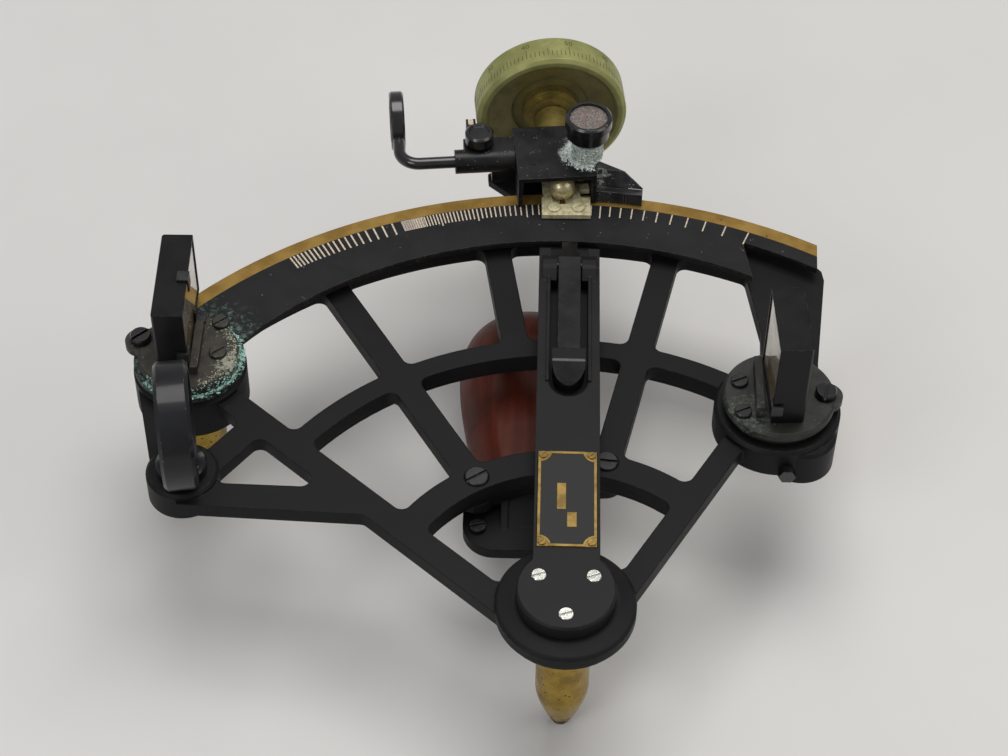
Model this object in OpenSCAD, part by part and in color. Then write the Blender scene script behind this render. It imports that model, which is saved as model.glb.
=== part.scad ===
// Sextant-pattern stadimeter: a rib frame on three feet, an index arm that is set to a
// known height, a sprung mirror lever with the height scale on it, and a drum that moves
// the lever and reads the distance.
// Origin: the tip of the foot under the arm's pivot. +Z is up, and +Y runs along the arm.
// Azimuths are in degrees, clockwise from +Y, seen from above.
// "Deck" means the top of the scale plate: most heights are measured down or up from it.

/* [Stand] */
// Height of the deck above the surface that the feet stand on
deck_h = 63; // [60:1:68]
// Diameter of the foot under the index mirror
foot_d = 18; // [15:1:18]
// Diameter of the foot under the frame's right arm
arm_foot_d = 14; // [12:1:15]
// Diameter of the foot under the pivot
pivot_foot_d = 16; // [14:1:17]

/* [Frame casting] */
// Depth from the deck down to the top of the ribs
rib_drop = 5.6; // [5.5:0.1:6]
// Depth of the struts and spokes
strut_t = 5; // [4:0.5:6]
// Depth of the two inner arcs
arc_t = 7; // [6.5:0.5:8]
// Width of the struts
strut_w = 8.4; // [7:0.2:9]
// Inner radius of the lower arc
low_arc_r = 49; // [48:0.5:50]
// Inner radius of the middle arc
mid_arc_r = 97.2; // [96:0.2:98]
// Fillet radius in the corners of the openings
corner_r = 3; // [1:0.5:4]

/* [Scale and mirror lever] */
// Outer radius of the brass rim
rim_r = 164.7; // [164:0.1:165]
// Outer radius of the black scale plate
scale_r = 160; // [159:0.5:161]
// Distance of the index mirror's pivot from the arm's pivot
mirror_r = 146.4; // [146:0.1:147]
// Azimuth of the index mirror's pivot
mirror_az = -53.5; // [-54:0.1:-53]

/* [Index arm] */
// Width of the arm
arm_w = 19.4; // [17:0.2:20]
// Height of the arm's top above the deck
arm_top = 2.3; // [2:0.1:3]
// Radius of the arm's hub
arm_hub_r = 14.5; // [14:0.5:16]
// Width of the release lever
release_w = 7; // [6:0.5:7]

/* [Carriage and drum] */
// Turn of the carriage against the arm
carriage_turn = 6.3; // [6:0.1:6.6]
// Diameter of the drum
drum_d = 51; // [48:0.5:52]
// Width of the drum
drum_w = 12.4; // [11:0.2:13]
// Diameter of the spindle
spindle_d = 8.9; // [8:0.1:8.9]
// Diameter of the clamp knob
knob_d = 15.4; // [14:0.2:17]
// Diameter of the magnifier's lens ring
lens_ring_d = 20; // [18:0.5:21]

/* [Mirrors and telescope collar] */
// Height of the index mirror's hood
index_hood_h = 24; // [22:1:26]
// Depth of the index mirror's hood
index_hood_w = 35; // [33:0.5:36]
// Height of the horizon mirror's hood
horizon_hood_h = 32; // [30:1:34]
// Depth of the horizon mirror's hood
horizon_hood_w = 26; // [24:0.5:27]
// Outer diameter of the telescope collar
collar_od = 38.3; // [37:0.1:39]
// Bore of the telescope collar
collar_id = 31.8; // [31:0.1:32.5]

/* [Handle] */
// Length of the grip
grip_l = 98; // [90:1:100]
// Width of the grip
grip_w = 47; // [40:1:48]
// Depth of the grip
grip_t = 30; // [26:1:30]

/* [Hidden] */
$fn = 96;
fine = 240;
far = 400;
eps = 0.02;
gap = 0.3;
run_fit = 0.04;

// Heights below or above the deck
rib_top = -rib_drop;
rib_bottom = rib_top - strut_t;
arc_bottom = rib_top - arc_t;
limb_bottom = -10;
boss_top = -3;
boss_bottom = -17;
lever_bottom = -2.2;
scale_bottom = -0.8;
rim_top = -0.1;
arm_bottom = -2.7;
tail_bottom = -5.3;
axis_h = 4.7;
base_bottom = 0;
base_top = 3;

// Frame points, [x, y]
limb_in_r = 146.5;
limb_out_r = 162;
limb_end_az = 28.6;
pivot_boss_r = 20.5;
pivot_boss_bottom = -8.4;
pivot_hub_r = 12;
pivot_hub_bottom = -19;
left_boss_r = 17.6;
right_boss = [64.5, 76];
right_boss_r = 19.5;
right_boss_bottom = -13;
right_lobe_at = [72, 67.3];
right_lobe_r = 10.4;
arm_foot_at = [74, 124];
arm_foot_stud_r = 4;
collar_at = [-115.5, 45.5];
collar_boss_r = 11;
collar_boss_top = -4;
collar_boss_bottom = -14;
spokes = [[-31.2, low_arc_r + 4], [-9.3, mid_arc_r + 3], [12.6, low_arc_r + 4]];

// Arc widths, and how far their deeper webs stand back from the sides of the ribs
low_arc_w = 9.2;
mid_arc_w = 6.8;
rib_inset = 0.3;

function polar(r, az) = [r * sin(az), r * cos(az)];
mirror_at = polar(mirror_r, mirror_az);

// Bearings
bush_wall = 2;
shaft_r = 6;
bush_flange_r = 10.5;
bush_flange_t = 0.9;
cavity_r = 10;
shaft_end = -15;
bush_end = -11.8;

// Handle
grip_x = -12;
grip_y = 45;
tang_top = -24;
tang_t = 3;
tang_x = [-9, 1];
tang_end_r = 7.3;
tang_cross_y = 44.6;
lobe_t = 4;

// How far the drum moves the shoe, and with it the rim, outward
travel = 6.5;

// Carriage frame: origin under the spindle's nose, +Y along the drum's axis
carriage_at = [-2.4, 160];
block_x = [-14.7, 11];
block_y = [-0.5, 24.6];
block_top = 12.5;
web_y = 17.6;
drum_y = 37.2;
stem_at = [8.7, 9.7];
stem_r = 2.2;
clamp_y = 14.4;
clamp_h = 8;
rod_r = 2;
thumb_at = [-26.2, 18.6];
lens_x = -52.6;
lens_y = 36;

// Colours of the finishes
black_paint = "#26272a";
gloss_black = "#101114";
brass = "#a8843f";
olive_brass = "#8c8a52";
pale_brass = "#c9bd86";
corroded = "#b9b08c";
verdigris = "#6f8076";
steel = "#8d9094";
bright = "#d5d6d2";
mahogany = "#6b2417";
mirror_tan = "#b59f80";
glass_tint = "#9fb0b0";

// Puts a piece at the height of the deck
module on_deck() {
    translate([0, 0, deck_h]) children();
}

// Puts a piece in the carriage's own frame
module on_carriage() {
    translate([carriage_at.x, carriage_at.y, deck_h]) rotate([0, 0, carriage_turn]) children();
}

// Upright cylinder from one height to another
module post(r, z_low, z_high) {
    translate([0, 0, z_low]) cylinder(r = r, h = z_high - z_low);
}

// Cylinder along +Y from one place to another
module rod_y(r, y_low, y_high) {
    translate([0, y_low, 0]) rotate([-90, 0, 0]) cylinder(r = r, h = y_high - y_low);
}

// Cylinder along +X from one place to another
module rod_x(r, x_low, x_high) {
    translate([x_low, 0, 0]) rotate([0, 90, 0]) cylinder(r = r, h = x_high - x_low);
}

// Box between two corners
module block(low, high) {
    translate(low) cube(high - low);
}

// Straight bar in plan between two points
module bar_2d(from, to, w) {
    run = to - from;
    translate(from) rotate([0, 0, atan2(run.y, run.x)]) translate([0, -w / 2]) square([norm(run), w]);
}

// Part of a flat ring between two azimuths
module sector_2d(r_in, r_out, az_from, az_to) {
    steps = 8;
    wedge = [for (i = [0 : steps]) polar(far, az_from + (az_to - az_from) * i / steps)];
    intersection() {
        difference() {
            circle(r = r_out, $fn = fine);
            circle(r = r_in, $fn = fine);
        }
        polygon(concat([[0, 0]], wedge));
    }
}

// Round boss with a small chamfer at its top edge
module boss(r, z_low, z_high, chamfer = 1) {
    rotate_extrude() polygon([
        [0, z_low], [r, z_low], [r, z_high - chamfer], [r - chamfer, z_high], [0, z_high]
    ]);
}

// Cheese-head screw, head up, with a straight slot; z = 0 is the seat under its head
module slotted_screw(head_r, head_h, shank_r, shank_l, slot_turn = 0) {
    slot_w = head_r * 0.28;
    slot_depth = head_h * 0.45;
    difference() {
        union() {
            rotate_extrude() polygon([
                [0, 0], [head_r, 0], [head_r, head_h * 0.8], [head_r * 0.9, head_h], [0, head_h]
            ]);
            translate([0, 0, -shank_l]) cylinder(r = shank_r, h = shank_l + eps);
        }
        rotate([0, 0, slot_turn])
            translate([-head_r - 1, -slot_w / 2, head_h - slot_depth])
            cube([2 * head_r + 2, slot_w, slot_depth + 1]);
    }
}

// Plan of the frame's ribs, bosses and outer struts
pivot_strut = [[-112, 82], [-15, -2.8]];
front_strut = [[-116, 42], [-64, 41], [-56, 31], [-116, 33.2]];
brace_strut = [[-111, 45], [-96, 65]];
left_strut = [[-130, 84], [-121.2, 48]];
right_strut = [[10, -6], [50.5, 62.5]];
right_arm = [
    [57, 137], [61.3, 109.3], [60.5, 90], [50, 84], [50, 70], [78, 76], [78.5, 96], [82.8, 133], [82.2, 137],
    [79, 141]
];

module frame_plan() {
    offset(r = -corner_r, $fn = 40) offset(delta = corner_r) {
        sector_2d(limb_in_r, limb_out_r, -50, limb_end_az);
        sector_2d(mid_arc_r, mid_arc_r + mid_arc_w, -54, 38);
        sector_2d(low_arc_r, low_arc_r + low_arc_w, -58, 42);
        for (spoke = spokes) bar_2d(polar(spoke[1], spoke[0]), polar(limb_in_r + 2, spoke[0]), strut_w);
        bar_2d(pivot_strut[0], pivot_strut[1], strut_w);
        polygon(front_strut);
        bar_2d(brace_strut[0], brace_strut[1], strut_w);
        bar_2d(left_strut[0], left_strut[1], strut_w);
        bar_2d(right_strut[0], right_strut[1], strut_w - 1);
        polygon(right_arm);
        circle(r = pivot_boss_r - 1.2);
        translate(mirror_at) circle(r = left_boss_r - 1.2);
        translate(right_boss) circle(r = right_boss_r - 1.2);
        translate(collar_at) circle(r = collar_boss_r - 1);
    }
}

low_screws = [polar(54, -30.1), polar(55.2, 12.4)];
rear_screw = polar(100.6, -1.2);
screw_head_r = 3.6;
screw_shank_r = 2;

module frame() {
    color(black_paint) on_deck() difference() {
        union() {
            translate([0, 0, rib_bottom]) linear_extrude(strut_t) difference() {
                frame_plan();
                sector_2d(limb_in_r + 3, far, -45, 22);
            }
            translate([0, 0, limb_bottom]) linear_extrude(rib_top - limb_bottom)
                sector_2d(limb_in_r + 2.5, limb_out_r - rib_inset, -46.5, 22.5);
            translate([0, 0, arc_bottom]) linear_extrude(arc_t - 1)
                sector_2d(mid_arc_r + rib_inset, mid_arc_r + mid_arc_w - rib_inset, -52, 35);
            translate([0, 0, arc_bottom]) linear_extrude(arc_t - 1)
                sector_2d(low_arc_r + rib_inset, low_arc_r + low_arc_w - rib_inset, -56, 40);
            rotate_extrude() polygon([
                [0, pivot_boss_bottom], [pivot_boss_r, pivot_boss_bottom], [pivot_boss_r, boss_top - 2],
                [pivot_boss_r - 0.8, boss_top - 1.2], [arm_hub_r + 1, boss_top], [0, boss_top]
            ]);
            boss(pivot_hub_r, pivot_hub_bottom, boss_top - 1);
            translate(mirror_at) boss(left_boss_r, boss_bottom, boss_top);
            translate(right_boss) boss(right_boss_r, right_boss_bottom, boss_top);
            translate(right_lobe_at) boss(right_lobe_r, boss_bottom, boss_top - 1.5, 1);
            translate(arm_foot_at) post(arm_foot_d / 2 + 0.6, boss_bottom, rib_top - 1);
            translate(collar_at) boss(collar_boss_r, collar_boss_bottom, collar_boss_top);
        }
        bearing_hole(pivot_hub_bottom);
        translate(mirror_at) bearing_hole(boss_bottom);
        translate(right_boss) post(shaft_r + run_fit, boss_bottom - 1, boss_top + 1);
        translate(arm_foot_at) post(arm_foot_stud_r + eps, boss_bottom - 1, boss_bottom + plug_h + eps);
        translate(collar_at) post(collar_stem_r, collar_boss_bottom - 1, collar_boss_top + 1);
        for (at = low_screws) translate(at) screw_hole();
        translate(rear_screw) screw_hole();
        translate([adjuster_at.x, adjuster_at.y, adjuster_z]) rod_y(adjuster_r + run_fit, -5, adjuster_l + 1);
    }
}

// Stepped hole for a flanged bush and, below it, the shaft's nut
module bearing_hole(z_low) {
    post(shaft_r + bush_wall, z_low - 1, boss_top + 1);
    post(bush_flange_r + eps, boss_top - bush_flange_t + gap, boss_top + 1);
    post(cavity_r, z_low - 1, bush_end);
}

// Counterbored hole for a frame screw
module screw_hole() {
    post(screw_shank_r, -far / 10, 1);
    post(screw_head_r + 0.2, rib_top - 1, 1);
}

// Feet
nose_l = 18;
nose_steps = 12;
tip_r = 2.6;
plug_h = 1.7;
// Turned foot: a plain cylinder, a rounded nose that ends in a small flat, and a plug at its top
module turned_foot(r, top, plug_r = cavity_r - eps) {
    nose = [
        for (i = [0 : nose_steps])
            let (t = i / nose_steps)
            [tip_r + (r - tip_r) * (1 - pow(1 - t, 1.45)), nose_l * t]
    ];
    rotate_extrude() polygon(concat([[0, 0]], nose, [[r, top], [plug_r, top], [plug_r, top + plug_h], [0, top + plug_h]]));
}

module pivot_foot() {
    color(brass) turned_foot(pivot_foot_d / 2, deck_h + pivot_hub_bottom);
}

module corner_feet() {
    color(brass) {
        translate(mirror_at) turned_foot(foot_d / 2, deck_h + boss_bottom);
        translate(arm_foot_at) turned_foot(arm_foot_d / 2, deck_h + boss_bottom, arm_foot_stud_r);
    }
}

// Flanged bush: its flange carries the piece that turns on it
module bush(z_low) {
    difference() {
        union() {
            post(shaft_r + bush_wall, z_low, boss_top);
            post(bush_flange_r, boss_top - bush_flange_t + gap, boss_top + gap - 0.1);
        }
        post(shaft_r + run_fit, z_low - 1, boss_top + 1);
    }
}

module arm_bush() {
    color(pale_brass) on_deck() bush(bush_end + 0.5);
}

module lever_bush() {
    color(pale_brass) on_deck() translate(mirror_at) bush(bush_end + 0.5);
}

// Flat spiral spring round the lever's nut
spring_turns = 2.5;
spring_from = 7.2;
spring_t = 0.35;
spring_pitch = (cavity_r - spring_from - spring_t - eps) / spring_turns;
spiral_steps = 60;
function spiral(r_add) = [
    for (i = [0 : spiral_steps])
        let (turn = spring_turns * i / spiral_steps)
        polar(spring_from + r_add + spring_pitch * turn, 360 * turn)
];
module lever_spring() {
    outer = spiral(spring_t);
    color(steel) on_deck() translate([mirror_at.x, mirror_at.y, shaft_end + 0.4]) linear_extrude(2)
        polygon(concat(spiral(0), [for (i = [spiral_steps : -1 : 0]) outer[i]]));
}

// Handle and its brackets
lobe_at = [-21.5, 40];
lobe_r = 9.6;
bracket_foot_r = 5.4;
bracket_screw = [-26.4, 38.5];
bracket_screw_r = 2.5;
module front_bracket() {
    color(black_paint) on_deck() difference() {
        union() {
            translate([0, 0, arc_bottom - lobe_t]) linear_extrude(lobe_t)
                sector_2d(low_arc_r + 0.6, low_arc_r + low_arc_w + 1.5, -34, 13);
            for (at = low_screws) translate(at) post(bracket_foot_r, arc_bottom - lobe_t, arc_bottom);
            translate([0, 0, tang_top]) linear_extrude(lobe_t) {
                translate(lobe_at) circle(r = lobe_r);
                translate([lobe_at.x, lobe_at.y - lobe_r]) square([14, 26]);
                translate([lobe_at.x - lobe_r, lobe_at.y]) square([2 * lobe_r, 16.4]);
            }
            leaning_web(-19.5, -9, 0);
            leaning_web(-19.6, -17.4, -1.2);
            block([-30, 48.6, tang_top + 1], [-25.5, 54, arc_bottom - 1]);
        }
        for (at = low_screws) translate(at) post(screw_shank_r, tang_top, 0);
        translate(bracket_screw) post(screw_shank_r - 0.4, tang_top - 9, 0);
    }
}

// Web that leans from the arc's flange down to the lobe
module leaning_web(x_from, x_to, shift) {
    top = arc_bottom - lobe_t + 1;
    translate([x_from, shift, 0]) rotate([90, 0, 90]) linear_extrude(x_to - x_from)
        polygon([[48, top], [53 - shift, top], [53 - shift, tang_top + 1], [39.4, tang_top + 1], [39.4, tang_top + 4]]);
}

tang_screw_rear = [-2.5, 112];
module rear_bracket() {
    color(black_paint) on_deck() difference() {
        union() {
            block([-9, 97.4, arc_bottom - 2.5], [5, 103.8, arc_bottom]);
            block([-7.5, 98, tang_top], [3.5, 103.2, arc_bottom]);
            block([-7.5, 98, tang_top], [3.5, 116, tang_top + lobe_t]);
        }
        translate(rear_screw) post(screw_shank_r, tang_top + 3, 0);
        translate(tang_screw_rear) post(screw_shank_r, tang_top - 1, 0);
    }
}

module handle_tang() {
    color(steel) on_deck() difference() {
        union() {
            block([tang_x[0], 35, tang_top - tang_t], [tang_x[1], 122, tang_top]);
            translate([lobe_at.x, lobe_at.y + 0.6]) post(tang_end_r, tang_top - tang_t, tang_top);
            block([lobe_at.x, 36.2, tang_top - tang_t], [tang_x[1], tang_cross_y, tang_top]);
        }
        translate(bracket_screw) post(screw_shank_r - 0.4, -far / 10, 0);
        translate(tang_screw_rear) post(screw_shank_r, -far / 10, 0);
    }
}

// Half width of the grip along its length, from 0 at its near end to 1 at its far end
function grip_half(t) = grip_w / 2 * (0.62 + 0.38 * sin(150 * t - 30)) * pow(1 - pow(t, 9), 0.5)
    * pow(1 - pow(1 - t, 14), 0.5);
function grip_depth(t) = grip_t / 2 * pow(1 - pow(t, 6), 0.5) * pow(1 - pow(1 - t, 12), 0.5);
grip_rings = 26;
grip_sides = 32;
grip_points = [
    for (i = [0 : grip_rings], j = [0 : grip_sides - 1])
        let (
            t = 0.012 + 0.976 * (1 - cos(180 * i / grip_rings)) / 2,
            side = 360 * j / grip_sides
        )
        [grip_half(t) * cos(side), grip_l * t, grip_depth(t) * sin(side)]
];
function quad_faces(rings, sides) = [
    for (i = [0 : rings - 1], j = [0 : sides - 1], half = [0, 1])
        let (a = i * sides + j, b = i * sides + (j + 1) % sides)
        half == 0 ? [a, b, b + sides] : [a, b + sides, a + sides]
];
function end_faces(rings, sides) = [
    [for (j = [sides - 1 : -1 : 0]) j],
    [for (j = [0 : sides - 1]) rings * sides + j]
];

module handle() {
    color(mahogany) on_deck() difference() {
        translate([grip_x, grip_y, tang_top - tang_t - grip_t / 2 + 5])
            polyhedron(
                concat(grip_points),
                concat(quad_faces(grip_rings, grip_sides), end_faces(grip_rings, grip_sides)),
                convexity = 4
            );
        block([grip_x - far, 0, tang_top - gap], [grip_x + far, far, 0]);
        block([tang_x[0] - eps, 0, tang_top - tang_t], [tang_x[1] + eps, 122 + eps, 0]);
        block([lobe_at.x - 9, 0, tang_top - tang_t], [tang_x[1] + eps, lobe_at.y + tang_end_r + 1, 0]);
        translate(tang_screw_rear) post(screw_shank_r + 0.1, tang_top - 9, 0);
        translate(bracket_screw) post(screw_shank_r, tang_top - 9, 0);
    }
}

module frame_screws() {
    color(black_paint) on_deck() {
        translate(concat(low_screws[0], [rib_top - 1])) slotted_screw(screw_head_r, 1.7, screw_shank_r - eps, 9, 35);
        translate(concat(low_screws[1], [rib_top - 1])) slotted_screw(screw_head_r, 1.7, screw_shank_r - eps, 9, -5);
        translate(concat(rear_screw, [rib_top - 1])) slotted_screw(screw_head_r, 1.2, screw_shank_r - eps, 9, 20);
    }
}

module handle_screws() {
    color(black_paint) on_deck() {
        translate(concat(bracket_screw, [tang_top + lobe_t]))
            slotted_screw(bracket_screw_r, 1.8, screw_shank_r - 0.4 - eps, 6.9, 15);
        translate(concat(tang_screw_rear, [tang_top + lobe_t]))
            slotted_screw(screw_head_r, 1.8, screw_shank_r - eps, 12, 70);
    }
}

// Telescope collar
collar_stem_r = 5;
collar_w = 10;
collar_turn = 9.5;
collar_h = 16;
module telescope_collar() {
    color(gloss_black) on_deck() translate(collar_at) difference() {
        union() {
            translate([0, 0, collar_h]) rotate([0, 0, collar_turn]) rotate([0, 90, 0]) rotate_extrude() polygon([
                [collar_id / 2, -collar_w / 2], [collar_od / 2 - 1, -collar_w / 2],
                [collar_od / 2, 1 - collar_w / 2], [collar_od / 2, collar_w / 2 - 1],
                [collar_od / 2 - 1, collar_w / 2], [collar_id / 2, collar_w / 2]
            ]);
            difference() {
                boss(7.6, collar_boss_top, collar_h - collar_id / 2 - 0.2, 0.6);
                translate([0, 0, collar_h]) rotate([0, 0, collar_turn])
                    rod_x(collar_id / 2 + 0.4, -far / 10, far / 10);
            }
            post(collar_stem_r - eps, collar_boss_bottom - 5, collar_boss_top + 1);
        }
        collar_screw_place() translate([0, 0, -8]) cylinder(r = 1.5, h = 20);
    }
}

collar_screw_side = 118;
module collar_screw_place() {
    translate([0, 0, collar_h]) rotate([0, 0, collar_turn]) rotate([-collar_screw_side, 0, 0])
        translate([0, 0, collar_od / 2]) children();
}

module collar_screw() {
    color(brass) on_deck() translate(collar_at) collar_screw_place()
        translate([0, 0, 0.25]) slotted_screw(2.2, 1.2, 1.5 - eps, 3.2, 40);
}

module collar_nut() {
    color(brass) on_deck() translate([collar_at.x, collar_at.y, collar_boss_bottom - 4]) difference() {
        cylinder(r = 7, h = 4, $fn = 6);
        translate([0, 0, -1]) cylinder(r = collar_stem_r, h = 6);
    }
}

// Mirror bases: a disc, an ear that holds the adjusting screw, and a ledge behind the glass
module mirror_base_solid(r, ear_reach, ear_side, ledge) {
    difference() {
        union() {
            boss(r, base_bottom + 0.05, base_top, 0.8);
            rotate([0, 0, ear_side]) translate([0, 0, base_bottom + 0.05]) linear_extrude(base_top - 0.4) {
                translate([ear_reach - 5, 0]) circle(r = 5);
                polygon([[0, -r * 0.86], [ear_reach - 4, -4.4], [ear_reach - 4, 4.4], [0, r * 0.86]]);
            }
            block([ledge[0], -r * 0.62, base_top - 1], [ledge[0] + 2.4, r * 0.62, base_top + ledge[1]]);
        }
    }
}

// Hole and seat for the screw in an ear
ear_screw_r = 3.3;
module ear_hole(seat) {
    post(1.8, -1, 9);
    post(ear_screw_r + 0.1, seat, 9);
}

// Hood of a mirror: a box, open on the face where the glass sits
module hood_solid(w, t, h) {
    wall = hood_wall;
    difference() {
        edged_box(w, t, h);
        translate([wall, wall - w / 2, wall]) cube([t, w - 2 * wall, h - 2 * wall]);
    }
}

// Box with its long edges chamfered a little
module edged_box(w, t, h) {
    c = 0.6;
    linear_extrude(h) polygon([
        [c, -w / 2], [t, -w / 2], [t, w / 2], [c, w / 2], [0, w / 2 - c], [0, c - w / 2]
    ]);
}

hood_wall = 0.9;
glass_set = 0.3;
glass_t = 3;
module glass_solid(w, t, h) {
    wall = hood_wall;
    play = 0.1;
    translate([t - glass_set - glass_t, wall + play - w / 2, wall + play])
        cube([glass_t, w - 2 * wall - 2 * play, h - 2 * wall - 2 * play]);
}

// Spring clips that lap over the glass from the edges of the hood
module top_clip(t, h, y) {
    block([t - 3, y - 2, h + 0.01], [t + 0.6, y + 2, h + 0.8]);
    block([t + 0.05, y - 2, h - 4.2], [t + 0.6, y + 2, h + 0.8]);
}
module foot_clip(t, y) {
    block([t + 0.05, y - 2, 0.01], [t + 0.6, y + 2, 4.6]);
    block([t + 0.05, y - 2, 0.01], [t + 3.4, y + 2, 0.9]);
}
module side_clip(w, t, z) {
    block([t - 3, -w / 2 - 0.8, z], [t + 0.6, -w / 2 - 0.01, z + 4]);
    block([t + 0.05, -w / 2 - 0.8, z], [t + 0.6, 3.6 - w / 2, z + 4]);
}

// Index mirror, on the mirror lever
index_turn = 1.1;
index_hood_at = [-8.6, 9.4];
index_base_r = 15.7;
index_ear_side = 163;
hood_t = 9.5;
module at_index() {
    on_deck() translate(mirror_at) children();
}
module at_index_hood() {
    at_index() rotate([0, 0, index_turn]) translate([index_hood_at.x, index_hood_at.y, base_top]) children();
}
index_screw_spots = [[8.8, 12], [9.2, -0.6]];

module index_base() {
    color(verdigris) at_index() difference() {
        mirror_base_solid(index_base_r, 21, index_ear_side, [1.6, 3.5]);
        for (at = index_screw_spots) translate(at) post(1.5, -1, 9);
        rotate([0, 0, index_ear_side]) translate([16, 0]) ear_hole(base_top - 0.35);
    }
}
module index_hood() {
    color(gloss_black) at_index_hood() hood_solid(index_hood_w, hood_t, index_hood_h);
}
module index_glass() {
    color(mirror_tan) at_index_hood() glass_solid(index_hood_w, hood_t, index_hood_h);
}
module index_clips() {
    color(steel) at_index_hood() {
        top_clip(hood_t, index_hood_h, -1);
        foot_clip(hood_t, 4.5);
        side_clip(index_hood_w, hood_t, 4.2);
    }
}
module index_screws() {
    color(verdigris) at_index() for (at = index_screw_spots)
        translate(concat(at, [base_top])) slotted_screw(2.7, 1.3, 1.5 - eps, 2.8, 40);
}
module index_ear_screw() {
    color(gloss_black) at_index() rotate([0, 0, index_ear_side]) translate([16, 0, base_top - 0.35])
        slotted_screw(ear_screw_r, 2.6, 1.8 - eps, 2.4, 60);
}

// Horizon mirror, adjustable on the right boss
horizon_turn = 3.2;
horizon_hood_at = [6.1, 0.9];
horizon_base_r = 17.2;
horizon_screw_spots = [[-12, 4.2], [-11.4, -8.2]];
module at_horizon() {
    on_deck() translate(right_boss) children();
}
module at_horizon_hood() {
    at_horizon() rotate([0, 0, horizon_turn]) translate([horizon_hood_at.x, horizon_hood_at.y, base_top - 0.2])
        mirror([1, 0, 0]) children();
}
module horizon_base() {
    color(verdigris) at_horizon() difference() {
        union() {
            translate([0, 0, -0.2]) mirror_base_solid(horizon_base_r, 19.5, 0, [-7.6, 5]);
            post(horizon_base_r - 1.5, boss_top + gap - 0.1, 0.5);
            post(shaft_r, right_boss_bottom + gap, boss_top + 1);
        }
        shaft_groove();
        for (at = horizon_screw_spots) translate(at) post(1.5, -1, 9);
        translate([14.2, 0, 0]) ear_hole(base_top - 0.55);
    }
}
// Groove round the shaft, in which the tip of the hex bolt stands
groove_r = 3.9;
module shaft_groove() {
    difference() {
        post(shaft_r + 1, adjuster_z - adjuster_r - gap, adjuster_z + adjuster_r + gap);
        post(groove_r, -far / 10, 0);
    }
}
module horizon_hood() {
    color(gloss_black) at_horizon_hood() hood_solid(horizon_hood_w, hood_t + 0.4, horizon_hood_h);
}
module horizon_glass() {
    color(mirror_tan) at_horizon_hood() glass_solid(horizon_hood_w, hood_t + 0.4, horizon_hood_h);
}
module horizon_clips() {
    color(steel) at_horizon_hood() side_clip(horizon_hood_w, hood_t + 0.4, 4);
}
module horizon_screws() {
    color(black_paint) at_horizon() for (at = horizon_screw_spots)
        translate(concat(at, [base_top - 0.2])) slotted_screw(2.7, 1.3, 1.5 - eps, 2.8, 25);
}
module horizon_ear_screw() {
    color(gloss_black) at_horizon() translate([14.2, 0, base_top - 0.55])
        slotted_screw(ear_screw_r, 2.6, 1.8 - eps, 2.4, 80);
}

// Hex bolt at the front of the right boss, which holds the horizon base's setting
adjuster_at = [66.9, 53.2];
adjuster_z = -10;
adjuster_r = 1.5;
adjuster_l = 18.6;
module horizon_adjuster() {
    color(gloss_black) on_deck() translate([adjuster_at.x, adjuster_at.y, adjuster_z]) {
        rotate([-90, 0, 0]) cylinder(r = 2.7, h = 2.8, $fn = 6);
        rod_y(adjuster_r, 2, adjuster_l);
    }
}

// Mirror lever: hub, curved bar and rim in brass, with the black scale plate on top
band_centre = [-0.35, 10.2];
band_in_r = 132.4;
facet = [polar(153, 21.8), polar(140, 25)];
module band_2d(r_out) {
    difference() {
        intersection() {
            circle(r = r_out, $fn = fine);
            polygon([
                mirror_at, polar(far, mirror_az), polar(far, -20), polar(far, 5), polar(far, 30),
                [81.5, 160], [80, 133], facet[1], [40, 100], [-60, 80], mirror_at + [10, -10]
            ]);
        }
        translate(band_centre) circle(r = band_in_r, $fn = fine);
        polygon([
            polar(154.8, 21.45), polar(154.8, 25), polar(154.9, 28), polar(155, 31), polar(130, 34), polar(130, 25.5),
            facet[1], facet[0]
        ]);
    }
}
hub_r = 17.2;
module mirror_lever() {
    color(brass) on_deck() difference() {
        union() {
            translate([0, 0, lever_bottom]) linear_extrude(scale_bottom - lever_bottom) {
                band_2d(rim_r);
                translate(mirror_at) circle(r = hub_r);
            }
            translate([0, 0, lever_bottom]) linear_extrude(rim_top - lever_bottom) difference() {
                band_2d(rim_r);
                circle(r = scale_r, $fn = fine);
            }
            translate(mirror_at) post(shaft_r, shaft_end, lever_bottom + 1);
            translate(mirror_at) post(hub_r, lever_bottom, -0.05);
        }
        translate(mirror_at) post(2.5, shaft_end - 1, shaft_end + 4);
    }
}
module scale_plate() {
    color(black_paint) on_deck() translate([0, 0, scale_bottom]) linear_extrude(-scale_bottom) difference() {
        band_2d(scale_r - eps);
        translate(mirror_at) circle(r = hub_r + eps);
    }
}
module lever_nut() {
    color(brass) on_deck() translate([mirror_at.x, mirror_at.y, shaft_end]) difference() {
        cylinder(r = shaft_r + 1, h = bush_end - shaft_end - 0.3, $fn = 6);
        translate([0, 0, -1]) cylinder(r = shaft_r + eps, h = 9);
    }
}

// Index arm
flange_r = 11.6;
flange_t = 1.4;
slot_y = [73, 134];
slot_w = 12;
slot_floor = -1.9;
lug_y = 128;
lug_h = 3.4;
pin_r = 1.2;
lug_x = 6.3;
lug_w = 4.6;
lug_top = 5;
arm_end = 137;
arm_screw_spots = [[-7.9, 4.6], [7.9, 4.6], [0, -9]];
arm_screw_r = 2.2;
tail_screw_spots = [[-7.6, 128], [7.2, 128]];

module index_arm() {
    color(black_paint) on_deck() {
        arm_bar();
        for (side = [-1, 1]) pin_lug(side);
    }
}

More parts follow.
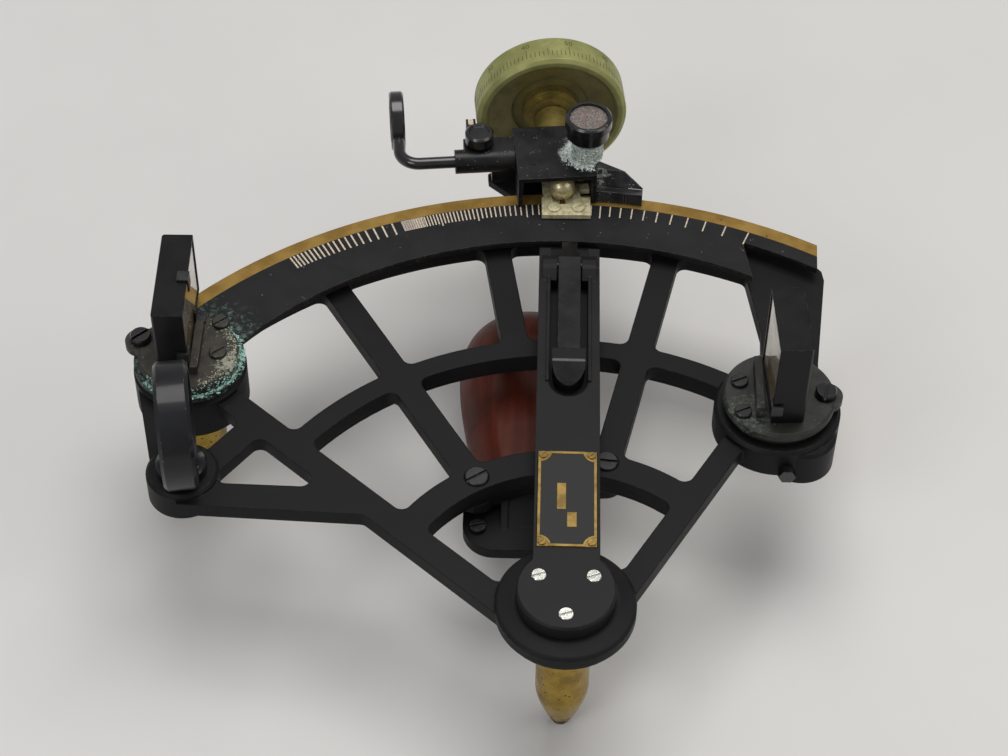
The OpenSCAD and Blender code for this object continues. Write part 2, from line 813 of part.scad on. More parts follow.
// Bar of the arm, with its hub, slot, rails and pockets
module arm_bar() {
    difference() {
        union() {
            boss(arm_hub_r, arm_bottom, arm_top, 0.6);
            block([-arm_w / 2, 0, arm_bottom], [arm_w / 2, arm_end, arm_top]);
            for (side = [-1, 1])
                block([side * 6.5 - 0.5, slot_y[0] + 6, 0], [side * 6.5 + 0.5, slot_y[1] - 1, arm_top + 0.8]);
        }
        block([-slot_w / 2, slot_y[0] + slot_w / 2, slot_floor], [slot_w / 2, arm_end + 1, 9]);
        translate([0, slot_y[0] + slot_w / 2]) post(slot_w / 2, slot_floor, 9);
        for (at = arm_screw_spots) translate(at) post(1.5, arm_bottom - 1, arm_top + 1);
        for (at = arm_screw_spots) translate(at) post(arm_screw_r + 0.1, arm_top - 0.9, arm_top + 1);
        for (at = tail_screw_spots) translate(at) post(1.2, arm_bottom - 1, arm_bottom + 3);
        translate([-plate_w / 2 - 0.1, plate_y[0] - 0.1, arm_top - plate_sink])
            cube([plate_w + 0.2, plate_y[1] - plate_y[0] + 0.2, 3]);
        spring_pocket();
        post(flange_r + eps, arm_bottom - 1, arm_bottom + flange_t);
        translate([0, lug_y, lug_h]) rod_x(pin_r, -far / 20, far / 20);
    }
}

// Low rounded lug beside the release lever, which holds one end of its pin
module pin_lug(side) {
    difference() {
        translate([side * lug_x - lug_w / 2, 0, 0]) rotate([90, 0, 90]) linear_extrude(lug_w) polygon([
            [lug_y - 5.6, slot_floor - eps], [lug_y + 5.6, slot_floor - eps], [lug_y + 5.6, arm_top],
            [lug_y + 2.2, lug_top - 0.5], [lug_y + 1.2, lug_top], [lug_y - 1.2, lug_top],
            [lug_y - 2.2, lug_top - 0.5], [lug_y - 5.6, arm_top]
        ]);
        translate([0, lug_y, lug_h]) rod_x(pin_r, -far / 20, far / 20);
        for (at = tail_screw_spots) translate(at) post(1.2, arm_bottom - 1, arm_bottom + 3);
    }
}

// Shaft with the flange that the three bright screws hold to the arm
module arm_shaft() {
    color(steel) on_deck() difference() {
        union() {
            post(shaft_r, shaft_end, arm_bottom + flange_t);
            post(flange_r, arm_bottom, arm_bottom + flange_t);
        }
        post(1.5, shaft_end - 1, shaft_end + 3);
        for (at = arm_screw_spots) translate(at) post(1.5, arm_bottom - 1, arm_top + 1);
    }
}
module arm_nut() {
    color(brass) on_deck() translate([0, 0, shaft_end]) difference() {
        cylinder(r = shaft_r + 1, h = bush_end - shaft_end - 0.3, $fn = 6);
        translate([0, 0, -1]) cylinder(r = shaft_r + eps, h = 9);
    }
}
module arm_screws() {
    color(bright) on_deck() for (at = arm_screw_spots)
        translate(concat(at, [arm_top - 0.9])) slotted_screw(arm_screw_r, 1.1, 1.5 - eps, 3.9, 20);
}

// Tail under the scale, from the arm out to the carriage
tail_y = [123, 184];
module arm_plate() {
    color(black_paint) on_deck() difference() {
        union() {
            block([-arm_w / 2, tail_y[0], tail_bottom], [arm_w / 2, 168, arm_bottom]);
            translate([0, 0, tail_bottom]) linear_extrude(arm_bottom - tail_bottom) tail_plan();
        }
        for (at = tail_screw_spots) translate(at) post(1.2, tail_bottom - 1, arm_bottom + 1);
        for (at = tail_screw_spots) translate(at) post(2.2, tail_bottom - 1, tail_bottom + 1.2);
    }
}
module on_carriage_flat() {
    translate(carriage_at) rotate([0, 0, carriage_turn]) children();
}
module tail_plan() {
    on_carriage_flat() polygon([
        [block_x[0], 6.5], [block_x[0] - 8.5, 16], [block_x[0] - 8.5, 19], [block_x[0], block_y[1]],
        [block_x[1], block_y[1]], [block_x[1] + 3, 15], [27, 5], [25.5, -4], [block_x[1], 2]
    ]);
}
module tail_screws() {
    color(steel) on_deck() for (at = tail_screw_spots)
        translate(concat(at, [tail_bottom + 1.2])) mirror([0, 0, 1]) slotted_screw(2.1, 1.1, 1.2 - eps, 3.4, 0);
}

// Bare plate at the near end of the arm, held by four pins
plate_w = 17.4;
plate_y = [14.8, 50.6];
plate_sink = 0.3;
plate_t = 0.7;
notch_r = 3.4;
plate_corners = [for (x = [-plate_w / 2, plate_w / 2], y = plate_y) [x, y]];
pin_inset = 1.45;
module nameplate() {
    color(brass) on_deck() translate([0, 0, arm_top - plate_sink]) difference() {
        linear_extrude(plate_t) translate([-plate_w / 2, plate_y[0]]) square([plate_w, plate_y[1] - plate_y[0]]);
        translate([0, 0, plate_t - 0.15]) linear_extrude(1) difference() {
            translate([-plate_w / 2 + 0.8, plate_y[0] + 0.8]) square([plate_w - 1.6, plate_y[1] - plate_y[0] - 1.6]);
            for (at = plate_corners) translate(at) circle(r = notch_r + 0.7);
        }
        translate([0, 0, plate_t - 0.15]) linear_extrude(1) for (at = plate_corners) translate(at) circle(r = notch_r);
        for (at = plate_corners) translate(at - pin_inset * corner_sign(at)) post(0.6, -1, 2);
    }
}
function corner_sign(at) = [sign(at.x), sign(at.y - (plate_y[0] + plate_y[1]) / 2)];
module nameplate_pins() {
    color(brass) on_deck() for (at = plate_corners)
        translate(concat(at - pin_inset * corner_sign(at), [arm_top - plate_sink + plate_t - 0.15]))
        slotted_screw(1.25, 0.5, 0.6 - eps, plate_t - 0.15, 45);
}

// Release lever: pad, bar and tip on a cross pin, with a spring under the pad
pad_y = [77.5, 90.5];
pad_w = 10.2;
spring_at = [0, 83];
spring_r = 2.2;
wire_r = 0.35;
spring_low = -2.2;
spring_high = 0.6;
module spring_pocket() {
    translate(spring_at) post(spring_r + 0.8, spring_low, 5);
}
pad_nose_l = 6.2;
pad_nose = [
    for (a = [180 : 15 : 360])
        [pad_w / 2 * cos(a), pad_y[0] + pad_nose_l + pad_nose_l * sin(a)]
];
tip_w = 5;
module release_lever() {
    color(gloss_black) on_deck() difference() {
        union() {
            intersection() {
                translate([-release_w / 2, 0, 0]) rotate([90, 0, 90]) linear_extrude(release_w) polygon([
                    [88, 0.6], [139, 0.6], [140.2, 1.4], [139.6, 2.6],
                    [134, 4.4], [lug_y + 2, 5.6], [lug_y - 3, 5.4], [88, 5]
                ]);
                linear_extrude(9) polygon([
                    [-release_w / 2, 86], [release_w / 2, 86], [release_w / 2, lug_y + 4], [tip_w / 2, lug_y + 6],
                    [tip_w / 2, 141], [-tip_w / 2, 141], [-tip_w / 2, lug_y + 6], [-release_w / 2, lug_y + 4]
                ]);
            }
            intersection() {
                translate([-pad_w / 2, 0, 0]) rotate([90, 0, 90]) linear_extrude(pad_w) polygon([
                    [pad_y[0], 0.6], [pad_y[1], 0.6], [pad_y[1], 5.2], [pad_y[1] - 5.8, 6.6], [pad_y[1] - 6.6, 6.4],
                    [pad_y[0] + 1, 3], [pad_y[0], 2]
                ]);
                linear_extrude(9) polygon(concat([[pad_w / 2, pad_y[1]], [-pad_w / 2, pad_y[1]]], pad_nose));
            }
        }
        translate([0, lug_y, lug_h]) rod_x(pin_r - run_fit + eps, -9, 9);
    }
}
module release_pin() {
    color(steel) on_deck() translate([0, lug_y, lug_h]) rod_x(pin_r - run_fit, -8.5, 8.5);
}

// Compression spring: one tube swept along a helix, with straight ends closed flat
curls = 3;
curl_rings = 8;
wire_sides = 6;
coil_steps = curls * curl_rings;
spring_climb = (spring_high - spring_low - 2 * wire_r - 0.1) / coil_steps;
coil_points = [
    for (i = [0 : coil_steps], j = [0 : wire_sides - 1])
        let (
            turn = 360 * i / curl_rings,
            side = 360 * j / wire_sides,
            out = spring_r + wire_r * cos(side)
        )
        [out * cos(turn), out * sin(turn), spring_low + wire_r + 0.05 + i * spring_climb + wire_r * sin(side)]
];
module release_spring() {
    color(steel) on_deck() translate(spring_at) polyhedron(
        coil_points,
        concat(quad_faces(coil_steps, wire_sides), end_faces(coil_steps, wire_sides)),
        convexity = 6
    );
}

// Carriage
cavity_wall = 1.4;
stem_boss = [5.2, 6.4, 2.7];
module carriage_block() {
    color(black_paint) on_carriage() difference() {
        block([block_x[0], block_y[0], arm_bottom + eps], [block_x[1], block_y[1], block_top]);
        difference() {
            block([block_x[0] + cavity_wall, block_y[0] - 1, -9], [block_x[1] - cavity_wall, web_y, block_top - 1.6]);
            block(stem_boss, [block_x[1], 13.4, block_top]);
        }
        block([block_x[0] - 1, block_y[0] - 1, -9], [block_x[1] + 1, web_y, gap]);
        translate([0, 0, axis_h]) rod_y(spindle_d / 2 + 0.06, web_y - 1, block_y[1] + 1);
        translate(stem_at) post(stem_r + run_fit, -9, block_top + 1);
        for (at = block_screw_spots) translate(at) post(2.2, block_top - 0.25, block_top + 1);
    }
}
block_screw_spots = [[-9.8, 21], [-9.3, 4.4]];

// Bevelled block beside the carriage, which carries the index line over the scale
index_line_az = 6.4;
module index_block() {
    color(black_paint) on_deck() difference() {
        on_carriage_flat() translate([0, 0, arm_bottom + eps]) linear_extrude(5 - arm_bottom) polygon([
            [block_x[1] + 0.02, -1.6], [25.6, -4.6], [27.3, 4.8], [block_x[1] + 2.6, 14.5], [block_x[1] + 0.02, 15.5]
        ]);
        post(rim_r + travel + gap, -9, gap);
        post(scale_r + 1.5, -9, 9);
        rotate([0, 0, -index_line_az]) translate([-20, scale_r + 1.5, 5]) rotate([-32, 0, 0]) cube([40, 9, 9]);
        rotate([0, 0, -index_line_az]) translate([-0.35, 150, 0]) cube([0.7, scale_r - 150 + 1.9, 9]);
    }
}

// Neck that carries the lead screw behind the carriage
neck_r = 5.9;
module drum_bearing() {
    color(brass) on_carriage() translate([0, 0, axis_h]) difference() {
        rod_y(neck_r, block_y[1], drum_y - 0.4);
        rod_y(spindle_d / 2 + 0.3, block_y[1] - 1, 31.5);
        rod_y(screw_r + run_fit, 20, drum_y + 1);
    }
}

// Screw, drum and hub
screw_r = 3;
lead_from = 15;
hub_out_r = 9.4;
module lead_screw() {
    color(steel) on_carriage() translate([0, 0, axis_h]) rod_y(screw_r, lead_from, drum_y + drum_w + 4);
}
module drum_profile(points) {
    on_carriage() translate([0, drum_y, axis_h]) rotate([-90, 0, 0]) rotate_extrude($fn = fine) polygon(points);
}
module drum() {
    r = drum_d / 2;
    color(olive_brass) drum_profile([
        [hub_out_r + eps, 6.6], [13.4, 6.6], [13.4, 5.2], [r - 4.4, 2.2], [r - 2.9, 0], [r - 1.3, 0], [r, 1.1],
        [r, drum_w - 0.8], [r - 0.8, drum_w], [r - 3, drum_w], [r - 4, drum_w - 2.6], [hub_out_r + eps, drum_w - 2.6]
    ]);
}
module drum_hub() {
    color(brass) difference() {
        drum_profile([
            [screw_r, 0.3], [7.9, 0.3], [7.9, 3], [hub_out_r, 3], [hub_out_r, drum_w], [8, drum_w],
            [8, drum_w + 3.6], [screw_r, drum_w + 3.6]
        ]);
        on_carriage() translate([2, 0, axis_h + 4.2]) rod_y(1.1, drum_y - 1, drum_y + 3.5);
    }
}

// Spindle, shoe and screws: they slide out along the drum's axis
nose_y = -1;
module spindle() {
    r = spindle_d / 2;
    color(pale_brass) on_carriage() translate([0, 0, axis_h]) difference() {
        rotate([-90, 0, 0]) rotate_extrude() polygon(concat(
            [for (a = [0 : 10 : 80]) [r * sin(a), nose_y + r - r * cos(a)]],
            [[r, nose_y + r], [r, 22], [0, 22]]
        ));
        rod_y(screw_r + run_fit, 7, 23);
        translate([0, 0, -axis_h]) block([-9, -9, -9], [9, 9, gap]);
    }
}
shoe_at = [0.8, -3];
shoe_w = 16;
shoe_d = 8.6;
shoe_low = 0.3;
shoe_high = 2;
shoe_tail = [block_x[1] - cavity_wall - gap, web_y - travel - gap];
shoe_screw_spots = [[-4, -1], [4, -1]];
module shoe_frame() {
    translate([shoe_at.x, shoe_at.y, 0]) rotate([0, 0, -5]) children();
}
module bearing_shoe() {
    color(corroded) difference() {
        union() {
            on_carriage() {
                shoe_frame() block([-shoe_w / 2, -shoe_d / 2, shoe_low], [shoe_w / 2, shoe_d / 2, shoe_high]);
                block([-6, 0, shoe_low], [6, shoe_tail.y, shoe_high]);
                block([0, 4, shoe_low], [shoe_tail.x, shoe_tail.y, shoe_high]);
            }
            on_deck() intersection() {
                translate([0, 0, -2.4]) linear_extrude(shoe_high + 2.4)
                    difference() {
                        circle(r = rim_r + 3.4, $fn = fine);
                        circle(r = rim_r + gap, $fn = fine);
                    }
                on_carriage_flat() block([-6, 0, -9], [6, 12, 9]);
            }
        }
        on_carriage() translate([0, 0, axis_h]) rod_y(spindle_d / 2 + eps, nose_y - 1, 12);
        on_carriage() shoe_frame() for (at = shoe_screw_spots) translate(at) post(1.1, shoe_low + 0.5, 9);
    }
}
module shoe_screws() {
    color(corroded) on_carriage() shoe_frame() for (at = shoe_screw_spots)
        translate(concat(at, [shoe_high])) slotted_screw(2.1, 0.7, 1.1 - eps, 1.1, 30);
}

// Pointer plate beside the drum
module drum_index() {
    color(black_paint) on_carriage() difference() {
        block([-29.6, 21.02, 4.4], [-26.4, 33.4, 9.6]);
        block([-28.2, 30, 9.3], [-27.8, 34, 10]);
    }
}

// Clamp: a knob on a stem that presses on the tail of the shoe and so locks the drum
knob_low = 20.5;
knob_high = 29.5;
module clamp_knob() {
    r = knob_d / 2;
    color(gloss_black) on_carriage() translate(stem_at) rotate_extrude() polygon([
        [stem_r, knob_low], [r - 1.6, knob_low], [r - 0.8, knob_low + 1.2], [r - 0.8, knob_high - 4],
        [r, knob_high - 3.4], [r, knob_high - 0.6], [r - 0.6, knob_high], [r - 1.4, knob_high], [r - 1.4, knob_high - 1.1],
        [stem_r, knob_high - 1.1]
    ]);
}
module clamp_stem() {
    color(steel) on_carriage() translate(stem_at) {
        post(stem_r, shoe_high + gap, knob_high - 1.2);
        rotate_extrude() polygon([
            [0, block_top + 0.1], [5.2, block_top + 0.1], [5.2, knob_low - 1.6], [4.4, knob_low - 0.02],
            [0, knob_low - 0.02]
        ]);
    }
}

// Magnifier and its clamp
barrel_r = 4;
module magnifier_clamp() {
    color(black_paint) on_carriage() difference() {
        union() {
            translate([0, clamp_y, clamp_h]) rod_x(barrel_r, -34.6, block_x[0] - eps);
            block([-31.4, clamp_y, clamp_h - barrel_r], [block_x[0] - eps, 21, clamp_h + barrel_r]);
            block([-22.5, 12, gap], [block_x[0] - eps, 17.8, 5]);
        }
        translate([0, clamp_y, clamp_h]) rod_x(rod_r + run_fit, -36, -20);
        block([-36, clamp_y, clamp_h - 0.5], [-21, 22, clamp_h + 0.5]);
        translate(thumb_at) post(1.5 + run_fit, 3, 13);
    }
}
module thumb_screw() {
    color(gloss_black) on_carriage() translate(thumb_at) {
        post(1.5, 4.6, 13);
        rotate_extrude() polygon([
            [0, 12.2], [3.6, 12.2], [4.7, 13.2], [4.7, 16.6], [4.1, 17.2], [3.4, 17.2], [3, 16.6], [0, 16.6]
        ]);
    }
}
bend_r = 6.4;
rod_from = -21.5;
module magnifier_rod() {
    color(gloss_black) on_carriage() translate([0, clamp_y, clamp_h]) {
        rod_x(rod_r, lens_x + bend_r, rod_from);
        translate([lens_x + bend_r, bend_r, 0]) rotate([0, 0, 180]) rotate_extrude(angle = 90) translate([bend_r, 0])
            circle(r = rod_r, $fn = 32);
        translate([lens_x, 0, 0]) rod_y(rod_r, bend_r, lens_y - clamp_y - lens_ring_d / 2 + 1.2);
    }
}
lens_r = 8.2;
module lens_ring() {
    r = lens_ring_d / 2;
    color(gloss_black) on_carriage() translate([lens_x, lens_y, clamp_h]) difference() {
        rotate([0, 90, 0]) rotate_extrude() polygon([
            [lens_r - 0.8, -2.3], [r - 0.6, -2.3], [r, -1.7], [r, 1.7], [r - 0.6, 2.3], [lens_r, 2.3], [lens_r, -1.5],
            [lens_r - 0.8, -1.5]
        ]);
        rod_y(rod_r, -r - 2, 1.2 - r);
    }
}
module magnifier_lens() {
    crown = 0.9;
    edge = lens_r - 0.05;
    rise = (edge * edge + crown * crown) / (2 * crown);
    color(glass_tint) on_carriage() translate([lens_x, lens_y, clamp_h]) rotate([0, 90, 0]) intersection() {
        translate([0, 0, -1.45]) cylinder(r = edge, h = 3.4);
        translate([0, 0, 1.9 - rise]) sphere(r = rise, $fn = fine);
    }
}

frame();
pivot_foot();
corner_feet();
arm_bush();
lever_bush();
lever_spring();
front_bracket();
rear_bracket();
handle_tang();
handle();
frame_screws();
handle_screws();
telescope_collar();
collar_screw();
collar_nut();
horizon_base();
horizon_hood();
horizon_glass();
horizon_clips();
horizon_screws();
horizon_ear_screw();
horizon_adjuster();
mirror_lever();
scale_plate();
index_base();
index_hood();
index_glass();
index_clips();
index_screws();
index_ear_screw();
lever_nut();
index_arm();
arm_shaft();
arm_nut();
arm_plate();
arm_screws();
tail_screws();
nameplate();
nameplate_pins();
carriage_block();
index_block();
drum_bearing();
drum_index();
magnifier_clamp();
release_lever();
release_pin();
release_spring();
drum();
drum_hub();
lead_screw();
spindle();
bearing_shoe();
shoe_screws();
clamp_knob();
clamp_stem();
magnifier_rod();
lens_ring();
magnifier_lens();
thumb_screw();
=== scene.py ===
"""Looks of a sextant-pattern stadimeter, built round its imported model.

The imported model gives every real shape. This script gives each of its nodes a procedural
material, adds what is engraved, painted, corroded or rounded on the real instrument, and sets
up a pale studio with the camera where the photograph was taken from.

Lengths are in millimetres until a mesh is made, and heights are measured from the deck, which
is the top of the scale plate. Azimuths are in degrees, clockwise from +Y, seen from above.
"""

import logging
import math
from collections.abc import Sequence
from dataclasses import dataclass, field
from enum import Enum

import bpy
import numpy as np
from mathutils import Matrix, Vector

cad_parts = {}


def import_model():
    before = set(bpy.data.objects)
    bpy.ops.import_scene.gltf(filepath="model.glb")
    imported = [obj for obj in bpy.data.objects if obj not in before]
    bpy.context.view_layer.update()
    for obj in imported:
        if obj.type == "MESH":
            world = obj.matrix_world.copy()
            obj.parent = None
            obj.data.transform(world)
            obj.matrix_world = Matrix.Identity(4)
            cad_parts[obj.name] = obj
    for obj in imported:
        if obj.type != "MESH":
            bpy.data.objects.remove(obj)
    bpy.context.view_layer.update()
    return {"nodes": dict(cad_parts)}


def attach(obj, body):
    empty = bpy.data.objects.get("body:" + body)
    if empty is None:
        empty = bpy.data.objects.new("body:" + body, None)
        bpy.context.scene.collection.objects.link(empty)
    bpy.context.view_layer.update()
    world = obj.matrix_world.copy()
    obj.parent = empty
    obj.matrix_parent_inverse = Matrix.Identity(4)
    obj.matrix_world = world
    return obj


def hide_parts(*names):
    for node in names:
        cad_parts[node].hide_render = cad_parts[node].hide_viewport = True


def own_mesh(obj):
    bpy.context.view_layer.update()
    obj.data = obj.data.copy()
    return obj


LOG = logging.getLogger("stadimeter")
MM = 0.001
DECK = 63.0

Pair = tuple[float, float]
Triple = tuple[float, float, float]
Quad = tuple[float, float, float, float]
Mesh = tuple[np.ndarray, list]
Socket = bpy.types.NodeSocket


class Body(Enum):
    """The moving bodies that new pieces ride on."""

    FRAME = "frame"
    LEVER = "mirror_lever"
    ARM = "index_arm"
    DRUM = "drum"
    CLAMP = "clamp_screw"


class Slot(Enum):
    """The record's material slots that new pieces take their finish from."""

    BLACK = "black_paint"
    BRASS = "brass"
    OLIVE = "olive_brass"
    CORRODED = "corroded"
    VERDIGRIS = "verdigris"
    STEEL = "steel"
    WOOD = "mahogany"


class Step(Enum):
    """Steps of a material: the node, the output that is used, and the node's settings."""

    OBJECT = ("ShaderNodeTexCoord", "Object", {})
    TRUE_NORMAL = ("ShaderNodeNewGeometry", "Normal", {})
    MAPPING = ("ShaderNodeMapping", 0, {})
    NOISE = ("ShaderNodeTexNoise", 0, {})
    CELLS = ("ShaderNodeTexVoronoi", 0, {})
    RAMP = ("ShaderNodeMapRange", 0, {"interpolation_type": "SMOOTHSTEP"})
    MIX = ("ShaderNodeMix", 2, {"data_type": "RGBA"})
    PLUS = ("ShaderNodeMath", 0, {"operation": "ADD"})
    TIMES = ("ShaderNodeMath", 0, {"operation": "MULTIPLY"})
    GREATER = ("ShaderNodeMath", 0, {"operation": "MAXIMUM"})
    VECTOR_SCALE = ("ShaderNodeVectorMath", 0, {"operation": "SCALE"})
    VECTOR_MINUS = ("ShaderNodeVectorMath", 0, {"operation": "SUBTRACT"})
    VECTOR_TIMES = ("ShaderNodeVectorMath", 0, {"operation": "MULTIPLY"})
    VECTOR_LENGTH = ("ShaderNodeVectorMath", "Value", {"operation": "LENGTH"})
    VECTOR_DOT = ("ShaderNodeVectorMath", "Value", {"operation": "DOT_PRODUCT"})
    ROUNDED_NORMAL = ("ShaderNodeBevel", 0, {"samples": 4})
    BUMP = ("ShaderNodeBump", 0, {})
    SHADER = ("ShaderNodeBsdfPrincipled", 0, {})


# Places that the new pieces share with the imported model

def polar(radius: float | np.ndarray, azimuth: float | np.ndarray) -> np.ndarray:
    """Points [x, y] in mm on circles round the arm's pivot, from radii in mm and azimuths in degrees."""
    a = np.radians(azimuth)
    return np.stack(np.broadcast_arrays(radius * np.sin(a), radius * np.cos(a)), axis=-1)


MIRROR_AT = polar(146.4, -53.5)
MIRROR_CENTRE = (*MIRROR_AT, 0.0)
RIGHT_BOSS = np.array([64.5, 76.0])


@dataclass(frozen=True)
class CarriageFrame:
    """The carriage's own frame: +Y runs along the drum's axis."""

    x: float = -2.4
    y: float = 160.0
    turn: float = 6.3
    axis_h: float = 4.7
    drum_y: float = 37.2
    drum_r: float = 25.5
    stem: Pair = (8.7, 9.7)
    block_top: float = 12.5

    def place(self, points: Sequence | np.ndarray) -> np.ndarray:
        """Moves points from the carriage's frame into the shared frame.

        Args:
            points: Points (n, 3) in mm, with heights measured from the deck.

        Returns:
            Array (n, 3) in mm, with heights measured from the deck.
        """
        c, s = math.cos(math.radians(self.turn)), math.sin(math.radians(self.turn))
        p = np.asarray(points, float)
        x = self.x + p[..., 0] * c - p[..., 1] * s
        y = self.y + p[..., 0] * s + p[..., 1] * c
        return np.stack([x, y, p[..., 2]], axis=-1)

    def round_drum(self, points: np.ndarray) -> np.ndarray:
        """Wraps flat points round the drum: the angle is the way round divided by the radius.

        Args:
            points: Array (n, 3): mm round the drum, mm back from its front, mm above its skin.

        Returns:
            Array (n, 3) in the shared frame, in mm, with heights measured from the deck.
        """
        turn = points[:, 0] / self.drum_r
        radius = self.drum_r + points[:, 2]
        y = self.drum_y + points[:, 1]
        z = self.axis_h + radius * np.cos(turn)
        return self.place(np.stack([radius * np.sin(turn), y, z], axis=-1))


CARRIAGE = CarriageFrame()


def carriage_point(x: float, y: float, height: float) -> Triple:
    """A place given in the carriage's frame, as a tuple in the shared frame."""
    return tuple(float(v) for v in CARRIAGE.place([x, y, height]))


# Materials

def srgb(code: str, share: float = 1.0) -> Quad:
    """Turns a hex colour into linear RGBA.

    Args:
        code: Colour such as "#8c8a52".
        share: Share of its brightness that is kept.

    Returns:
        Four linear values.
    """
    values = [int(code[i : i + 2], 16) / 255 for i in (1, 3, 5)]
    linear = [v / 12.92 if v <= 0.04045 else ((v + 0.055) / 1.055) ** 2.4 for v in values]
    return (*(v * share for v in linear), 1.0)


class Graph:
    """The node tree of one material, in millimetres of Object coordinates.

    EDGE_DOT: cosines of the turn of a rounded normal, at a full edge and where no edge is left.
    """

    EDGE_DOT = (0.86, 0.995)

    def __init__(self, name: str) -> None:
        """Starts an empty material.

        Args:
            name: Name of the material.
        """
        self.made = bpy.data.materials.new(name)
        self.made.use_nodes = True
        self.tree = self.made.node_tree
        self.tree.nodes.clear()
        self.mm = self.add(Step.VECTOR_SCALE, {0: self.add(Step.OBJECT), "Scale": 1 / MM})

    def add(self, step: Step, inputs: dict | None = None) -> Socket:
        """Adds a node with its settings, and fills or links its inputs.

        Args:
            step: What the node does.
            inputs: Name or number of an input, to a value, a hex colour or an output socket.

        Returns:
            The output socket that the step uses.
        """
        kind, output, settings = step.value
        node = self.tree.nodes.new(kind)
        for key, value in settings.items():
            setattr(node, key, value)
        for key, value in (inputs or {}).items():
            if isinstance(value, Socket):
                self.tree.links.new(value, node.inputs[key])
            else:
                node.inputs[key].default_value = srgb(value) if isinstance(value, str) else value
        return node.outputs[output]

    def patches(
        self, size: float, low: float, high: float, ends: Pair = (0.0, 1.0),
        detail: float = 4.0, rough: float = 0.6, stretch: Triple | None = None,
        turn: float = 0.0,
    ) -> Socket:
        """Soft patches: noise taken through a smooth step.

        Args:
            size: Size of the noise's features in mm.
            low: Noise value at which the step starts.
            high: Noise value at which it ends.
            ends: Values before and after the step.
            detail: Number of finer layers.
            rough: Strength of the finer layers.
            stretch: Scales along X, Y and Z that draw the patches out into streaks.
            turn: Degrees that the streaks are turned about Z.

        Returns:
            Socket of the value.
        """
        at = self.mm
        if stretch:
            rotation = (0.0, 0.0, math.radians(turn))
            at = self.add(Step.MAPPING, {"Vector": at, "Rotation": rotation, "Scale": stretch})
        noise = self.add(Step.NOISE, {"Vector": at, "Scale": 1 / size, "Detail": detail, "Roughness": rough})
        return self.add(Step.RAMP, {0: noise, 1: low, 2: high, 3: ends[0], 4: ends[1]})

    def near(self, centre: Sequence[float], near: float, far: float, flat: bool = True) -> Socket:
        """Falls from 1 at one distance from a place to 0 at another.

        Args:
            centre: Place in mm, with its height measured from the deck.
            near: Distance at which the value is 1.
            far: Distance at which it is 0.
            flat: Whether heights are left out of the distance.

        Returns:
            Socket of the value.
        """
        point = (float(centre[0]), float(centre[1]), DECK + float(centre[2]))
        away = self.add(Step.VECTOR_MINUS, {0: self.mm, 1: point})
        away = self.add(Step.VECTOR_TIMES, {0: away, 1: (1.0, 1.0, 0.0 if flat else 1.0)})
        distance = self.add(Step.VECTOR_LENGTH, {0: away})
        low, high = min(near, far), max(near, far)
        ends = (1.0, 0.0) if near < far else (0.0, 1.0)
        return self.add(Step.RAMP, {0: distance, 1: low, 2: high, 3: ends[0], 4: ends[1]})

    def layers(self, colour: Socket | str, *over: tuple[Socket, Socket | str]) -> Socket:
        """Lays colours over one another.

        Args:
            colour: The lowest colour.
            *over: Mask and colour of each layer above it, from the lowest up.

        Returns:
            Socket of the colour.
        """
        for mask, upper in over:
            colour = self.add(Step.MIX, {0: mask, 6: colour, 7: upper})
        return colour

    def soft_edges(self, radius: float) -> tuple[Socket, Socket]:
        """Rounded normals, and a mask of the edges: where they depart from the true normals.

        Args:
            radius: How far the rounding reaches, in mm.

        Returns:
            The normal's socket and the mask's socket.
        """
        soft = self.add(Step.ROUNDED_NORMAL, {"Radius": radius * MM})
        dot = self.add(Step.VECTOR_DOT, {0: soft, 1: self.add(Step.TRUE_NORMAL)})
        full, none = self.EDGE_DOT
        return soft, self.add(Step.RAMP, {0: dot, 1: full, 2: none, 3: 1.0, 4: 0.0})

    def surface(self, **sockets: float | Socket | tuple) -> bpy.types.Material:
        """Adds the surface shader and the output.

        Args:
            **sockets: The shader's inputs, with underscores for spaces.

        Returns:
            The material.
        """
        shader = self.add(Step.SHADER, {key.replace("_", " "): value for key, value in sockets.items()})
        output = self.tree.nodes.new("ShaderNodeOutputMaterial")
        self.tree.links.new(shader, output.inputs["Surface"])
        return self.made


@dataclass(frozen=True)
class Finish:
    """A surface of one real material."""

    name: str

    def make(self) -> bpy.types.Material:
        """Makes the material; each kind of finish has its own."""
        raise NotImplementedError

    def material(self) -> bpy.types.Material:
        """The material, made when it is first asked for."""
        return bpy.data.materials.get(self.name) or self.make()


